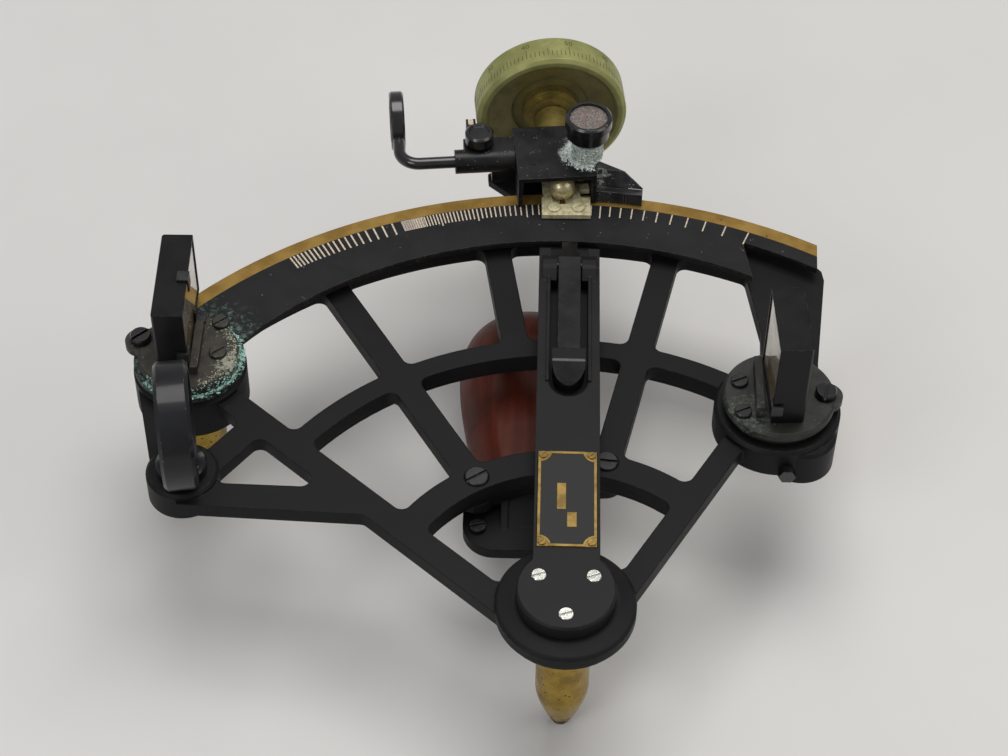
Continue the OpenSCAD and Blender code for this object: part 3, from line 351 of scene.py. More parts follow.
@dataclass(frozen=True)
class Stain:
    """Corrosion or dust that spreads round a place and thins out with distance, in mm."""

    colour: str
    centre: Triple
    near: float
    far: float
    cover: float = 0.5
    grain: float = 0.8
    height: float = 0.12
    flat: bool = True

    def lay(self, g: Graph, colour: Socket, rough: Socket, normal: Socket) -> tuple[Socket, Socket, Socket]:
        """Lays the stain over a surface.

        Args:
            g: The material's graph.
            colour: Colour under the stain.
            rough: Roughness under the stain.
            normal: Normal under the stain.

        Returns:
            Colour, roughness and normal with the stain on.
        """
        reach = g.near(self.centre, self.near, self.far, self.flat)
        grit = {"Vector": g.mm, "Scale": 1 / self.grain, "Detail": 5.0, "Roughness": 0.7, "Distortion": 0.4}
        crumbs = g.add(Step.NOISE, grit)
        # Fine crumbs count for 0.6 of the level, broad patches for 0.4, and the reach adds to both
        level = g.add(Step.TIMES, {0: crumbs, 1: 0.6})
        level = g.add(Step.PLUS, {0: level, 1: g.patches(4 * self.grain, 0.0, 1.0, (0.0, 0.4), 3.0)})
        level = g.add(Step.PLUS, {0: level, 1: g.add(Step.TIMES, {0: reach, 1: 0.3 * self.cover})})
        mask = g.add(Step.TIMES, {
            0: g.add(Step.RAMP, {0: level, 1: 0.60, 2: 0.70}),
            1: g.add(Step.RAMP, {0: reach, 1: 0.02, 2: 0.25}),
        })
        # The hollows between the crumbs are darker, and the whole stain is rough and raised
        hollow = g.add(Step.RAMP, {0: crumbs, 1: 0.40, 2: 0.62})
        shade = g.add(Step.MIX, {0: hollow, 6: self.colour, 7: srgb(self.colour, 0.35)})
        colour = g.layers(colour, (mask, shade))
        rough = g.add(Step.GREATER, {0: rough, 1: g.add(Step.TIMES, {0: mask, 1: 0.85})})
        raised = g.add(Step.TIMES, {0: mask, 1: crumbs})
        normal = g.add(Step.BUMP, {"Height": raised, "Distance": self.height * MM, "Normal": normal})
        return colour, rough, normal


@dataclass(frozen=True)
class Coated(Finish):
    """Painted, plated or bare metal with spots and stains, and edges lightened in patches, partly by wear and
    partly as a painted highlight. Sizes are in mm.
    """

    base: str
    second: str
    mottle: float = 2.0
    metallic: float = 0.0
    rough: Pair = (0.25, 0.40)
    grain: float = 0.35
    grain_depth: float = 0.004
    edge: float = 0.35
    worn: str = ""
    wear: float = 0.6
    speck: str = ""
    speck_size: float = 0.9
    speck_share: float = 0.10
    coat: float = 0.0
    coat_rough: float = 0.12
    gloss: float = 0.5
    streak: Triple | None = None
    stains: tuple[Stain, ...] = ()

    def base_colour(self, g: Graph, colour: Socket) -> Socket:
        """Lets a kind of coating change its first colour."""
        return colour

    def metal(self, g: Graph, rough: Socket) -> float | Socket:
        """How metallic the surface is: stained places, which are rough, are not.

        Args:
            g: The material's graph.
            rough: Roughness with the stains on.

        Returns:
            A value, or the socket of one.
        """
        if not (self.stains and self.metallic):
            return self.metallic
        return g.add(Step.RAMP, {0: rough, 1: 0.6, 2: 0.8, 3: self.metallic, 4: 0.0})

    def make(self) -> bpy.types.Material:
        """Makes the material: mottled colour, spots, rubbed edges, then stains."""
        g = Graph(self.name)
        soft, edges = g.soft_edges(self.edge)
        colour = self.base_colour(g, g.layers(self.base, (g.patches(self.mottle, 0.35, 0.68), self.second)))
        rough = g.patches(self.mottle, 0.3, 0.7, self.rough)
        height = g.patches(self.grain, 0.0, 1.0, detail=2.0)
        if self.streak:
            # Marks of the tool or the cloth, drawn out along one direction
            marks = g.patches(1.0, 0.3, 0.75, (-0.06, 0.10), 2.0, 0.7, self.streak)
            rough = g.add(Step.PLUS, {0: rough, 1: marks})
            height = g.add(Step.PLUS, {0: height, 1: g.add(Step.TIMES, {0: marks, 1: 4.0})})
        if self.speck:
            # Small spots: the middles of a cell pattern, kept only in some patches
            cells = g.add(Step.CELLS, {"Vector": g.mm, "Scale": 1 / self.speck_size})
            dots = g.add(Step.RAMP, {0: cells, 1: 0.12, 2: 0.20, 3: 1.0, 4: 0.0})
            low = 0.62 - self.speck_share
            kept = g.patches(3 * self.speck_size, low, 0.66 - self.speck_share, detail=2.0)
            colour = g.layers(colour, (g.add(Step.TIMES, {0: dots, 1: kept}), self.speck))
        if self.worn:
            # Lighter colour on edges, in patches: partly wear, where paint and patina go first, and partly a
            # painted highlight along the rounded edges
            low, high = 0.62 - 0.3 * self.wear, 0.72 - 0.2 * self.wear
            patch = g.patches(2.4, low, high, (0.0, 0.85), rough=0.65)
            colour = g.layers(colour, (g.add(Step.TIMES, {0: edges, 1: patch}), self.worn))
        normal = g.add(Step.BUMP, {"Height": height, "Distance": self.grain_depth * MM, "Normal": soft})
        for stain in self.stains:
            colour, rough, normal = stain.lay(g, colour, rough, normal)
        return g.surface(
            Base_Color=colour, Roughness=rough, Metallic=self.metal(g, rough), Normal=normal,
            Coat_Weight=self.coat, Coat_Roughness=self.coat_rough, Specular_IOR_Level=self.gloss,
        )


@dataclass(frozen=True)
class BareRim(Coated):
    """Painted lever whose outer rim, beyond a radius round the arm's pivot, is bare metal."""

    rim: str = "#977a40"
    rim_second: str = "#7e632f"
    rim_from: float = 159.9
    blend: float = 0.1

    def rim_mask(self, g: Graph) -> Socket:
        """1 on the rim and 0 inside it."""
        return g.near((0.0, 0.0, 0.0), self.rim_from + self.blend, self.rim_from)

    def base_colour(self, g: Graph, colour: Socket) -> Socket:
        """Paint inside the rim, and mottled bare metal on it.

        Args:
            g: The material's graph.
            colour: Colour of the paint.

        Returns:
            Colour of the whole surface.
        """
        bare = g.layers(self.rim, (g.patches(11.0, 0.35, 0.65), self.rim_second))
        return g.layers(colour, (self.rim_mask(g), bare))

    def metal(self, g: Graph, rough: Socket) -> Socket:
        """Metallic only on the rim."""
        return g.add(Step.TIMES, {0: self.rim_mask(g), 1: self.metallic})


@dataclass(frozen=True)
class DrumSkin(Finish):
    """Olive skin on the drum's rim, a browner dished face, and dirt round the hub. Radii in mm."""

    skin: tuple[str, str] = ("#95965c", "#80814b")
    face: tuple[str, str] = ("#716a3c", "#5e5832")
    dirt: str = "#4d482b"
    worn: str = "#b3b280"
    face_to: Pair = (21.0, 24.5)
    dirt_to: Pair = (9.6, 11.2)
    edge: float = 0.5

    def make(self) -> bpy.types.Material:
        """Makes the material from rings of colour round the drum's axis."""
        g = Graph(self.name)
        soft, edges = g.soft_edges(self.edge)
        hub = carriage_point(0.0, CARRIAGE.drum_y, CARRIAGE.axis_h)
        broad = g.patches(9.0, 0.35, 0.65)
        colour = g.layers(
            g.layers(self.skin[0], (broad, self.skin[1])),
            (g.near(hub, *self.face_to, False), g.layers(self.face[0], (broad, self.face[1]))),
            (g.near(hub, *self.dirt_to, False), self.dirt),
            (g.patches(1.7, 0.60, 0.74, (0.0, 0.4)), self.dirt),
            # Pale edges: partly wear and partly a painted highlight along the rounded rim and chamfer
            (g.add(Step.TIMES, {0: edges, 1: g.patches(5.0, 0.3, 0.6, (0.2, 0.7))}), self.worn),
        )
        relief = {"Height": g.patches(0.35, 0.0, 1.0), "Distance": 0.008 * MM, "Normal": soft}
        return g.surface(
            Base_Color=colour, Roughness=g.patches(9.0, 0.3, 0.7, (0.42, 0.58)), Metallic=0.25,
            Normal=g.add(Step.BUMP, relief),
        )


@dataclass(frozen=True)
class Wood(Finish):
    """Close-grained red-brown wood under varnish, with its grain along +Y."""

    light: str = "#56200e"
    dark: str = "#431609"
    pore: str = "#2e1007"
    scratch: str = "#70402a"

    def make(self) -> bpy.types.Material:
        """Makes the material: growth rings, pores and a few scratches across the grain."""
        g = Graph(self.name)
        rings = g.patches(3.2, 0.32, 0.68, detail=5.0, stretch=(1.0, 0.07, 1.0))
        pores = g.patches(0.35, 0.62, 0.75, detail=2.0, rough=0.5, stretch=(1.0, 0.05, 1.0))
        marks = g.patches(0.5, 0.70, 0.76, (0.0, 0.3), 1.0, 0.5, (0.12, 2.2, 0.6), 35.0)
        colour = g.layers(self.light, (rings, self.dark), (pores, self.pore), (marks, self.scratch))
        uneven = g.add(Step.PLUS, {0: g.add(Step.TIMES, {0: pores, 1: -0.3}), 1: g.patches(6.0, 0.0, 1.0)})
        return g.surface(
            Base_Color=colour, Roughness=g.patches(7.0, 0.3, 0.7, (0.42, 0.52)), Coat_Weight=0.06,
            Coat_Roughness=0.30, Specular_IOR_Level=0.22,
            Normal=g.add(Step.BUMP, {"Height": uneven, "Distance": 0.03 * MM}),
        )


@dataclass(frozen=True)
class Silvering(Finish):
    """Aged silvering seen through old glass."""

    light: str = "#b7a68c"
    dark: str = "#94825f"
    spot: str = "#5b4a31"

    def make(self) -> bpy.types.Material:
        """Makes the material: cloudy silver with brown spots under a clear coat of glass."""
        g = Graph(self.name)
        cloud = g.patches(7.0, 0.35, 0.70, detail=5.0)
        cells = g.add(Step.CELLS, {"Vector": g.mm, "Scale": 1 / 2.6})
        dots = g.add(Step.RAMP, {0: cells, 1: 0.10, 2: 0.28, 3: 0.6, 4: 0.0})
        foxing = g.add(Step.TIMES, {0: dots, 1: g.patches(5.0, 0.45, 0.6)})
        colour = g.layers(self.light, (cloud, self.dark), (foxing, self.spot))
        wave = {"Height": g.patches(12.0, 0.0, 1.0), "Distance": 0.01 * MM}
        return g.surface(
            Base_Color=colour, Roughness=g.patches(7.0, 0.3, 0.7, (0.10, 0.30)), Metallic=0.35,
            Normal=g.add(Step.BUMP, wave), Coat_Weight=1.0, Coat_Roughness=0.03,
        )


@dataclass(frozen=True)
class ClearGlass(Finish):
    """Clear ground glass with faint dust."""

    light: str = "#e6efec"
    dark: str = "#d6e2df"

    def make(self) -> bpy.types.Material:
        """Makes the material: clear, with dust that scatters a little light."""
        g = Graph(self.name)
        colour = g.layers(self.light, (g.patches(9.0, 0.3, 0.7), self.dark))
        return g.surface(
            Base_Color=colour, Roughness=g.patches(0.8, 0.55, 0.75, (0.02, 0.22)), IOR=1.52,
            Transmission_Weight=1.0,
        )


@dataclass(frozen=True)
class Grit(Finish):
    """A loose or uneven layer: chips of paint, chalky crumbs or a scoured face. Sizes in mm."""

    light: str = "#cdbda6"
    dark: str = "#8d8172"
    size: float = 0.6
    depth: float = 0.02
    roughness: float = 0.6
    metallic: float = 0.0
    tone: str = ""
    edges: Pair = (0.46, 0.66)

    def make(self) -> bpy.types.Material:
        """Makes the material: two colours by a fine noise, which also raises the surface."""
        g = Graph(self.name)
        chips = g.patches(self.size, *self.edges, rough=0.7)
        colour = g.layers(self.light, (chips, self.dark))
        if self.tone:
            colour = g.layers(colour, (g.patches(5.0, 0.5, 0.72), self.tone))
        normal = g.add(Step.BUMP, {"Height": chips, "Distance": self.depth * MM})
        return g.surface(
            Base_Color=colour, Roughness=self.roughness, Metallic=self.metallic, Normal=normal
        )


@dataclass(frozen=True)
class TableTop(Finish):
    """Pale laminate, evenly lit."""

    light: str = "#d3d2d0"
    dark: str = "#cdccca"

    def make(self) -> bpy.types.Material:
        """Makes the material: two near tones in very broad patches."""
        g = Graph(self.name)
        colour = g.layers(self.light, (g.patches(260.0, 0.3, 0.7), self.dark))
        relief = {"Height": g.patches(2.0, 0.0, 1.0), "Distance": 0.004 * MM}
        return g.surface(Base_Color=colour, Roughness=0.62, Normal=g.add(Step.BUMP, relief))


# Baked black enamel on the cast frame: deep and slightly brown, with soft rounded edges, lightened in patches
# partly by wear and partly as a painted highlight
FRAME_PAINT = Coated(
    "BakedBlackEnamelOnCastAlloy", "#121213", "#181719", mottle=18, rough=(0.44, 0.58), grain=0.45,
    grain_depth=0.010, edge=0.7, worn="#3f3b36", wear=0.3, gloss=0.15,
)
# The same enamel where hands rub it: smoother, so it takes a soft sheen
ARM_PAINT = Coated(
    "RubbedBlackEnamelOnRolledBrass", "#141416", "#1b1a1c", mottle=16, rough=(0.42, 0.54), grain=0.4,
    grain_depth=0.008, edge=0.45, worn="#46413b", wear=0.3, gloss=0.20,
)
# Scale plate: engraved and stoved, dusted with pale salts round the index mirror
SCALE_PAINT = Coated(
    "StovedBlackOnEngravedBrass", "#17181a", "#202022", mottle=11, rough=(0.44, 0.60), grain_depth=0.008,
    edge=0.30, worn="#5d5140", speck="#6a665f", speck_size=1.5, speck_share=0.02, gloss=0.18,
    stains=(Stain("#6f847b", MIRROR_CENTRE, near=17.0, far=32.0, cover=0.42, grain=0.45, height=0.04),),
)
# Lever below the plate: painted, but its rim is turned brass dulled by handling
LEVER_BRASS = BareRim(
    "TurnedBrassLeverPaintedInsideItsRim", "#141415", "#1b1b1a", mottle=14, metallic=0.5, rough=(0.42, 0.58),
    grain=0.3, edge=0.25, worn="#8a7142", wear=0.3, speck="#4a3518", speck_size=2.4, speck_share=0.02,
    gloss=0.18,
    stains=(Stain("#647a70", MIRROR_CENTRE, near=14.0, far=27.0, grain=0.45, height=0.08),),
)
# Carriage: thin old paint with salts that crept from the clamp's stem
CARRIAGE_PAINT = Coated(
    "ThinBlackPaintOnMilledBrass", "#0f0f11", "#18181a", mottle=7, rough=(0.28, 0.46), grain_depth=0.010,
    worn="#5c5850", speck="#8c8a84", speck_share=0.06, gloss=0.28,
    stains=(Stain("#e3eae3", carriage_point(8.0, 10.6, 12.0), 4.0, 11.0, 0.95, 0.55, 0.15, flat=False),),
)
# Index block: scraped, so the grey primer shows in scratches
INDEX_PAINT = Coated(
    "ScrapedBlackPaintOverPrimer", "#1f1f22", "#333335", mottle=6, rough=(0.35, 0.5), grain=0.3,
    grain_depth=0.006, worn="#8a837b", wear=0.8, speck="#a8a59e", speck_size=1.0, speck_share=0.08,
    gloss=0.25, streak=(0.5, 3.0, 1.0),
    stains=(Stain("#c3cdc7", carriage_point(12.5, 8.0, 4.0), 1.0, 6.0, 0.7, 0.5, 0.05, flat=False),),
)
# Hoods: smooth sprayed enamel with a faint satin
HOOD_PAINT = Coated(
    "SprayedBlackEnamelOnSheetBrass", "#0e0e10", "#141416", mottle=9, rough=(0.34, 0.46), grain=0.5,
    edge=0.50, worn="#45423f", wear=0.35, coat=0.06, gloss=0.15,
)
# Ring for the telescope: thick blue-black enamel with a soft shine
RING_BLACK = Coated(
    "ThickBlackEnamelOnCastRing", "#0b0c10", "#101116", mottle=8, rough=(0.34, 0.46), grain=0.6,
    grain_depth=0.002, worn="#b9b3a2", wear=0.12, coat=0.35, gloss=0.20,
)
# Release lever: enamel polished by thumbs, so its rounded edges draw thin bright lines
THUMB_BLACK = Coated(
    "ThumbPolishedBlackEnamelOnBrass", "#0d0d0f", "#151517", mottle=8, rough=(0.24, 0.34), grain=0.6,
    grain_depth=0.002, edge=0.5, worn="#4a4641", wear=0.4, coat=0.2, gloss=0.30,
)
# Rod and knobs: polished enamel that mirrors the window
GLOSS_BLACK = Coated(
    "PolishedBlackEnamelOnTurnedBrass", "#0d0d0f", "#131315", mottle=8, rough=(0.18, 0.28), grain=0.6,
    grain_depth=0.002, worn="#45423e", wear=0.3, speck="#6e6a64", speck_size=2.2, speck_share=0.01, coat=0.4,
)
# Feet: turned brass with brown spots where its lacquer failed
FOOT_BRASS = Coated(
    "TurnedBrassWithFailedLacquer", "#b0923a", "#856a28", mottle=9, metallic=0.7, rough=(0.22, 0.38),
    grain=0.3, edge=0.3, worn="#d9c074", wear=0.4, speck="#2e2210", speck_size=2.1, speck_share=0.17,
    streak=(0.3, 0.3, 5.0),
    stains=(Stain("#4d3d26", (0.0, 0.0, -DECK), 2.0, 11.0, 0.8, 0.5, 0.02, flat=False),),
)
# Nameplate's border: etched brass, dulled
PLATE_BRASS = Coated(
    "EtchedBrassPlate", "#9c8040", "#77602c", mottle=4, metallic=0.5, rough=(0.36, 0.5), grain=0.3, edge=0.15,
    worn="#cba762",
)
# Spindle and bushes: pale turned brass, still bright
PALE_BRASS = Coated(
    "PaleTurnedBrass", "#cdc29a", "#a99c6c", mottle=3, metallic=0.6, rough=(0.24, 0.38), grain=0.25,
    grain_depth=0.01, edge=0.25, worn="#e8e2c4", wear=0.5, speck="#5a4527", speck_size=1.1, speck_share=0.14,
)
# Hub: turned brass under old oil, which dulls it
HUB_BRASS = Coated(
    "OiledTurnedBrass", "#978749", "#766937", mottle=5, metallic=0.6, rough=(0.34, 0.50), grain=0.25,
    grain_depth=0.006, edge=0.25, worn="#ab9a58", wear=0.4, speck="#2e2912", speck_size=1.5,
)
# Shoe: brass that has lost its zinc, chalky cream with dark pits
CORRODED = Coated(
    "DezincifiedBrass", "#cfc8a4", "#a39b76", mottle=1.8, metallic=0.2, rough=(0.45, 0.65), grain_depth=0.04,
    worn="#e9e4cc", speck="#3c3827",
)
# Index mirror's base: bronze gone green and grey, crusted towards the rim
INDEX_BRONZE = Coated(
    "VerdigrisedBronzeCasting", "#332f27", "#24231f", mottle=4, metallic=0.2, rough=(0.5, 0.72),
    grain_depth=0.02, worn="#7d7158", speck="#8b9e92", speck_share=0.06,
    stains=(
        Stain("#84a79c", MIRROR_CENTRE, near=31.0, far=14.0, cover=0.55, grain=0.6, height=0.16),
        Stain("#b9b8a8", (*(MIRROR_AT + (13, -4)), 0.0), 2.0, 8.0, 0.55, 0.4, 0.1),
    ),
)
# Horizon mirror's base: bronze blackened all over, with one grey-green bloom
HORIZON_BRONZE = Coated(
    "BlackenedBronzeCasting", "#222220", "#1b1b19", mottle=4, metallic=0.15, rough=(0.42, 0.62),
    grain_depth=0.015, edge=0.4, worn="#4f4a3f", wear=0.5, speck="#5c6149", speck_size=1.0, speck_share=0.04,
    stains=(Stain("#6a7262", (*(RIGHT_BOSS - (11, 9)), 2.0), 4.0, 13.0, 0.5, 0.35, 0.05, flat=False),),
)
# Screws: brown and dusty on the index mirror, black on the frame, and bright nickel on the arm
BROWN_SCREW = Coated(
    "BrownedSteelScrew", "#3b3a33", "#2a2a26", metallic=0.4, rough=(0.35, 0.5), grain=0.25, grain_depth=0.01,
    edge=0.25, worn="#6f6a58", wear=0.5, speck="#8aa395", speck_size=0.7,
)
BLACK_SCREW = Coated(
    "BlackedSteelScrew", "#131315", "#1b1b1c", mottle=3, metallic=0.1, rough=(0.3, 0.45), grain=0.3,
    grain_depth=0.006, edge=0.25, worn="#57524a",
)
BRIGHT_SCREW = Coated(
    "NickelPlatedScrew", "#dcdcd6", "#c6c6bf", metallic=0.85, rough=(0.16, 0.26), grain=0.2,
    grain_depth=0.002, edge=0.2, worn="#f2f2ee", wear=0.3, speck="#8c8377", speck_size=0.8, speck_share=0.06,
    streak=(2.0, 2.0, 1.0),
)
# Hidden shafts, nuts and springs: drawn steel
STEEL = Coated(
    "DrawnSteel", "#7b7d80", "#66686b", mottle=5, metallic=0.9, grain=0.2, grain_depth=0.003, edge=0.25,
    worn="#a9abad", wear=0.4, speck="#4c3a2a", speck_size=1.6, speck_share=0.05,
)
# Mirror clips: blued spring steel, dark with a cool sheen
CLIP_STEEL = Coated(
    "BluedSpringSteel", "#232325", "#303031", metallic=0.3, grain=0.3, edge=0.2, worn="#7a766d", wear=0.5,
)
# Clamp's stem: steel under a crust of pale salts
STEM_SALTS = Coated(
    "SaltCrustedSteel", "#c3cdc4", "#7d8c82", mottle=1.4, metallic=0.1, rough=(0.6, 0.8), grain_depth=0.08,
    edge=0.3, worn="#e6ede6", speck="#3f4a44", speck_share=0.18,
)
# Drum: matt olive rim, browner where its face is dished and oil gathers
DRUM_SKIN = DrumSkin("OliveAnodisedAlloy")
# Grip: close red-brown grain that the varnish deepens, with a soft highlight
RED_WOOD = Wood("VarnishedMahogany")
# Mirrors: silvering gone cloudy, so they look warm and nearly blind
SILVERING = Silvering("AgedSilveredGlass")
# Lens: clear, with a trace of dust
LENS_GLASS = ClearGlass("GroundCrownGlass")
# Engraved marks: cream filler on the scale, bare metal where it is rubbed off, dark wax on the drum
MARK_PAINT = Grit("CreamFillerInEngraving", "#cdbfa9", "#8d8172")
PATCH_METAL = Grit("PaintRubbedToMetal", "#aca097", "#857a70")
INK = Grit("DarkWaxInEngraving", "#45442e", "#5b5938")
# Nameplate's field: dull black, so the brass border stands out
PLATE_FIELD = Grit("BlackEnamelInEtchedField", "#0c0d0e", "#131314", depth=0.01, roughness=0.62)
# Disc in the knob: scoured grey-brown metal that sparkles a little
KNOB_FACE = Grit("ScouredZincDisc", "#5d544f", "#a39893", 0.55, 0.12, 0.55, 0.3, "#7d6a5e", (0.38, 0.66))
# Crusts: matt and chalky, in blue-green, grey and white
TEAL_CRUST = Grit("BlueGreenCopperSalts", "#a9cfc5", "#4f8a80", 0.45, 0.08, 0.9, tone="#3d4a40")
GREY_CRUST = Grit("GreyCopperSalts", "#b9b8a0", "#5f6f60", 0.45, 0.08, 0.9, tone="#3d4a40")
WHITE_CRUST = Grit("WhiteZincSalts", "#eef3ee", "#b9cfc4", 0.45, 0.08, 0.9, tone="#9fb5a9")


# Surfaces

def ring_faces(rings: int, around: int) -> np.ndarray:
    """Quads between rings of points.

    Args:
        rings: Number of rings.
        around: Number of points in a ring.

    Returns:
        Array (n, 4) of vertex numbers.
    """
    i, j = np.meshgrid(np.arange(rings - 1), np.arange(around), indexing="ij")
    a, b = i * around + j, i * around + (j + 1) % around
    return np.stack([a, b, b + around, a + around], axis=-1).reshape(-1, 4)


def tube_faces(rings: int, around: int) -> list:
    """Faces of a tube with flat ends, whose rings run the other way round from a prism's."""
    last = (rings - 1) * around + np.arange(around)[::-1]
    return [*ring_faces(rings, around)[:, ::-1].tolist(), list(range(around)), last.tolist()]


def rectangles(*spans: Quad) -> np.ndarray:
    """Corners (n, 4, 2) of rectangles, each given by its left, near, right and far side."""
    return np.array([[[x0, y0], [x1, y0], [x1, y1], [x0, y1]] for x0, y0, x1, y1 in spans])


def slabs(corners: np.ndarray, low: float, high: float) -> Mesh:
    """Closed four-sided slabs.

    Args:
        corners: Array (n, 4, 2), counter-clockwise seen from above, in mm.
        low: Height of their undersides.
        high: Height of their tops.

    Returns:
        Vertices and faces.
    """
    box = np.array([[0, 3, 2, 1], [4, 5, 6, 7], [0, 1, 5, 4], [1, 2, 6, 5], [2, 3, 7, 6], [3, 0, 4, 7]])
    n = len(corners)
    layers = [np.concatenate([corners, np.full((n, 4, 1), z)], axis=2) for z in (low, high)]
    faces = box[None] + 8 * np.arange(n)[:, None, None]
    return np.concatenate(layers, axis=1).reshape(-1, 3), faces.reshape(-1, 4).tolist()


def prism(outline: np.ndarray, low: float, high: float) -> Mesh:
    """Closed upright prism on an outline.

    Args:
        outline: Array (n, 2), counter-clockwise seen from above, in mm.
        low: Height of its underside.
        high: Height of its top.

    Returns:
        Vertices and faces.
    """
    n = len(outline)
    points = np.concatenate([np.column_stack([outline, np.full(n, z)]) for z in (low, high)])
    faces = ring_faces(2, n).tolist() + [list(range(n))[::-1], list(range(n, 2 * n))]
    return points, faces


def turned(profile: Sequence[Pair], sides: int) -> Mesh:
    """Closed surface of revolution about an upright line: each ring is a circle of the profile's radius.

    Args:
        profile: [radius, height] from the lower pole to the upper one, both left out.
        sides: Number of sides.

    Returns:
        Vertices, with a pole at each end, and faces.
    """
    rings = np.asarray(profile, float)
    turn = np.linspace(0, 2 * math.pi, sides, endpoint=False)
    xy = rings[:, None, :1] * np.stack([np.cos(turn), np.sin(turn)], axis=-1)[None]
    z = np.broadcast_to(rings[:, None, 1:], (*xy.shape[:2], 1))
    wall = np.concatenate([xy, z], axis=2).reshape(-1, 3)
    poles = np.array([[0.0, 0.0, rings[0, 1]], [0.0, 0.0, rings[-1, 1]]])
    j, last = np.arange(sides), (len(rings) - 1) * sides
    after = (j + 1) % sides
    below = np.stack([after, j, np.full(sides, len(wall))], axis=-1)
    above = np.stack([last + j, last + after, np.full(sides, len(wall) + 1)], axis=-1)
    faces = ring_faces(len(rings), sides).tolist() + below.tolist() + above.tolist()
    return np.concatenate([wall, poles]), faces


def crumbs(centres: np.ndarray, sizes: np.ndarray, rng: np.random.Generator) -> Mesh:
    """Irregular small crumbs: octahedra whose corners are each pushed in or out at random.

    Args:
        centres: Array (n, 3) in mm.
        sizes: Array (n,) of half sizes in mm.
        rng: Source of their shapes.

    Returns:
        Vertices and faces.
    """
    n = len(centres)
    corner = np.array([[1, 0, 0], [0, 1, 0], [-1, 0, 0], [0, -1, 0], [0, 0, 1], [0, 0, -1]], float)
    sides = np.array([[0, 1, 4], [1, 2, 4], [2, 3, 4], [3, 0, 4], [1, 0, 5], [2, 1, 5], [3, 2, 5], [0, 3, 5]])
    shape = corner[None] * rng.uniform(0.55, 1.25, (n, 6, 1)) + rng.normal(0, 0.16, (n, 6, 3))
    turn = rng.uniform(0, 2 * math.pi, (n, 1))
    x, y, z = shape[:, :, 0], shape[:, :, 1], 0.6 * shape[:, :, 2]
    shape = np.stack([x * np.cos(turn) - y * np.sin(turn), x * np.sin(turn) + y * np.cos(turn), z], axis=-1)
    faces = sides[None] + 6 * np.arange(n)[:, None, None]
    return (centres[:, None] + shape * sizes[:, None, None]).reshape(-1, 3), faces.reshape(-1, 3).tolist()


@dataclass(frozen=True)
class CrumbSizes:
    """Half sizes of crumbs, in mm: a gamma distribution, cut off at both ends."""

    scale: float
    least: float
    most: float
    shape: float = 2.0

    def draw(self, rng: np.random.Generator, count: int) -> np.ndarray:
        """Draws as many half sizes as are asked for."""
        return rng.gamma(self.shape, self.scale, count).clip(self.least, self.most)


def put_in_scene(name: str, data: bpy.types.ID) -> bpy.types.Object:
    """Makes an object of a mesh, a camera or a light, and links it to the scene.

    Args:
        name: Name of the object.
        data: The mesh, camera or light.

    Returns:
        The object.
    """
    made = bpy.data.objects.new(name, data)
    bpy.context.scene.collection.objects.link(made)
    return made


def add_piece(
    name: str, mesh: Mesh, body: Body, finish: Finish, smooth: bool = False
) -> bpy.types.Object:
    """Makes a mesh piece that rides on a body.

    Args:
        name: Name of the piece.
        mesh: Its vertices (n, 3) in mm, with heights measured from the deck, and its faces.
        body: Body that it rides on.
        finish: Its finish.
        smooth: Whether its faces are shaded smooth.

    Returns:
        The object.
    """
    points = (mesh[0] + (0.0, 0.0, DECK)) * MM
    data = bpy.data.meshes.new(name)
    data.from_pydata(points.tolist(), [], mesh[1])
    data.polygons.foreach_set("use_smooth", np.full(len(data.polygons), smooth))
    data.materials.append(finish.material())
    data.update()
    piece = put_in_scene(name, data)
    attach(piece, body.value)
    LOG.info("piece %s: %d faces, %s, rides on %s", name, len(data.polygons), finish.name, body.value)
    return piece


# Sub-assemblies

Finishes = dict[str, Finish]


def coats(**finishes: Finish) -> Finishes:
    """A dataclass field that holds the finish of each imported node, by the node's name."""
    return field(default_factory=lambda: dict(finishes))


@dataclass
class SubAssembly:
    """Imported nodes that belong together, and the new pieces on them."""

    finishes: Finishes = coats()

    def dress(self, nodes: dict[str, bpy.types.Object]) -> set[str]:
        """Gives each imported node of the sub-assembly its finish.

        Args:
            nodes: Name to object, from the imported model.

        Returns:
            Names of the nodes that it dressed.
        """
        for name, finish in self.finishes.items():
            slots = nodes[name].data.materials
            slots.clear()
            slots.append(finish.material())
            LOG.info("node %s: %s", name, finish.name)
        return set(self.finishes)

    def build(self) -> None:
        """Adds the new pieces; a sub-assembly without any adds none."""


@dataclass
class FrameCasting(SubAssembly):
    """Cast frame with its feet, bushes, brackets and screws."""

    finishes: Finishes = coats(
        frame=FRAME_PAINT, front_bracket=FRAME_PAINT, rear_bracket=FRAME_PAINT, pivot_foot=FOOT_BRASS,
        corner_feet=FOOT_BRASS, arm_bush=PALE_BRASS, lever_bush=PALE_BRASS, lever_spring=STEEL,
        frame_screws=BLACK_SCREW, handle_screws=BLACK_SCREW,
    )


@dataclass
class Collar(SubAssembly):
    """Ring for the telescope, with its nut and screw."""

    finishes: Finishes = coats(
        telescope_collar=RING_BLACK, collar_nut=FOOT_BRASS, collar_screw=PLATE_BRASS,
    )


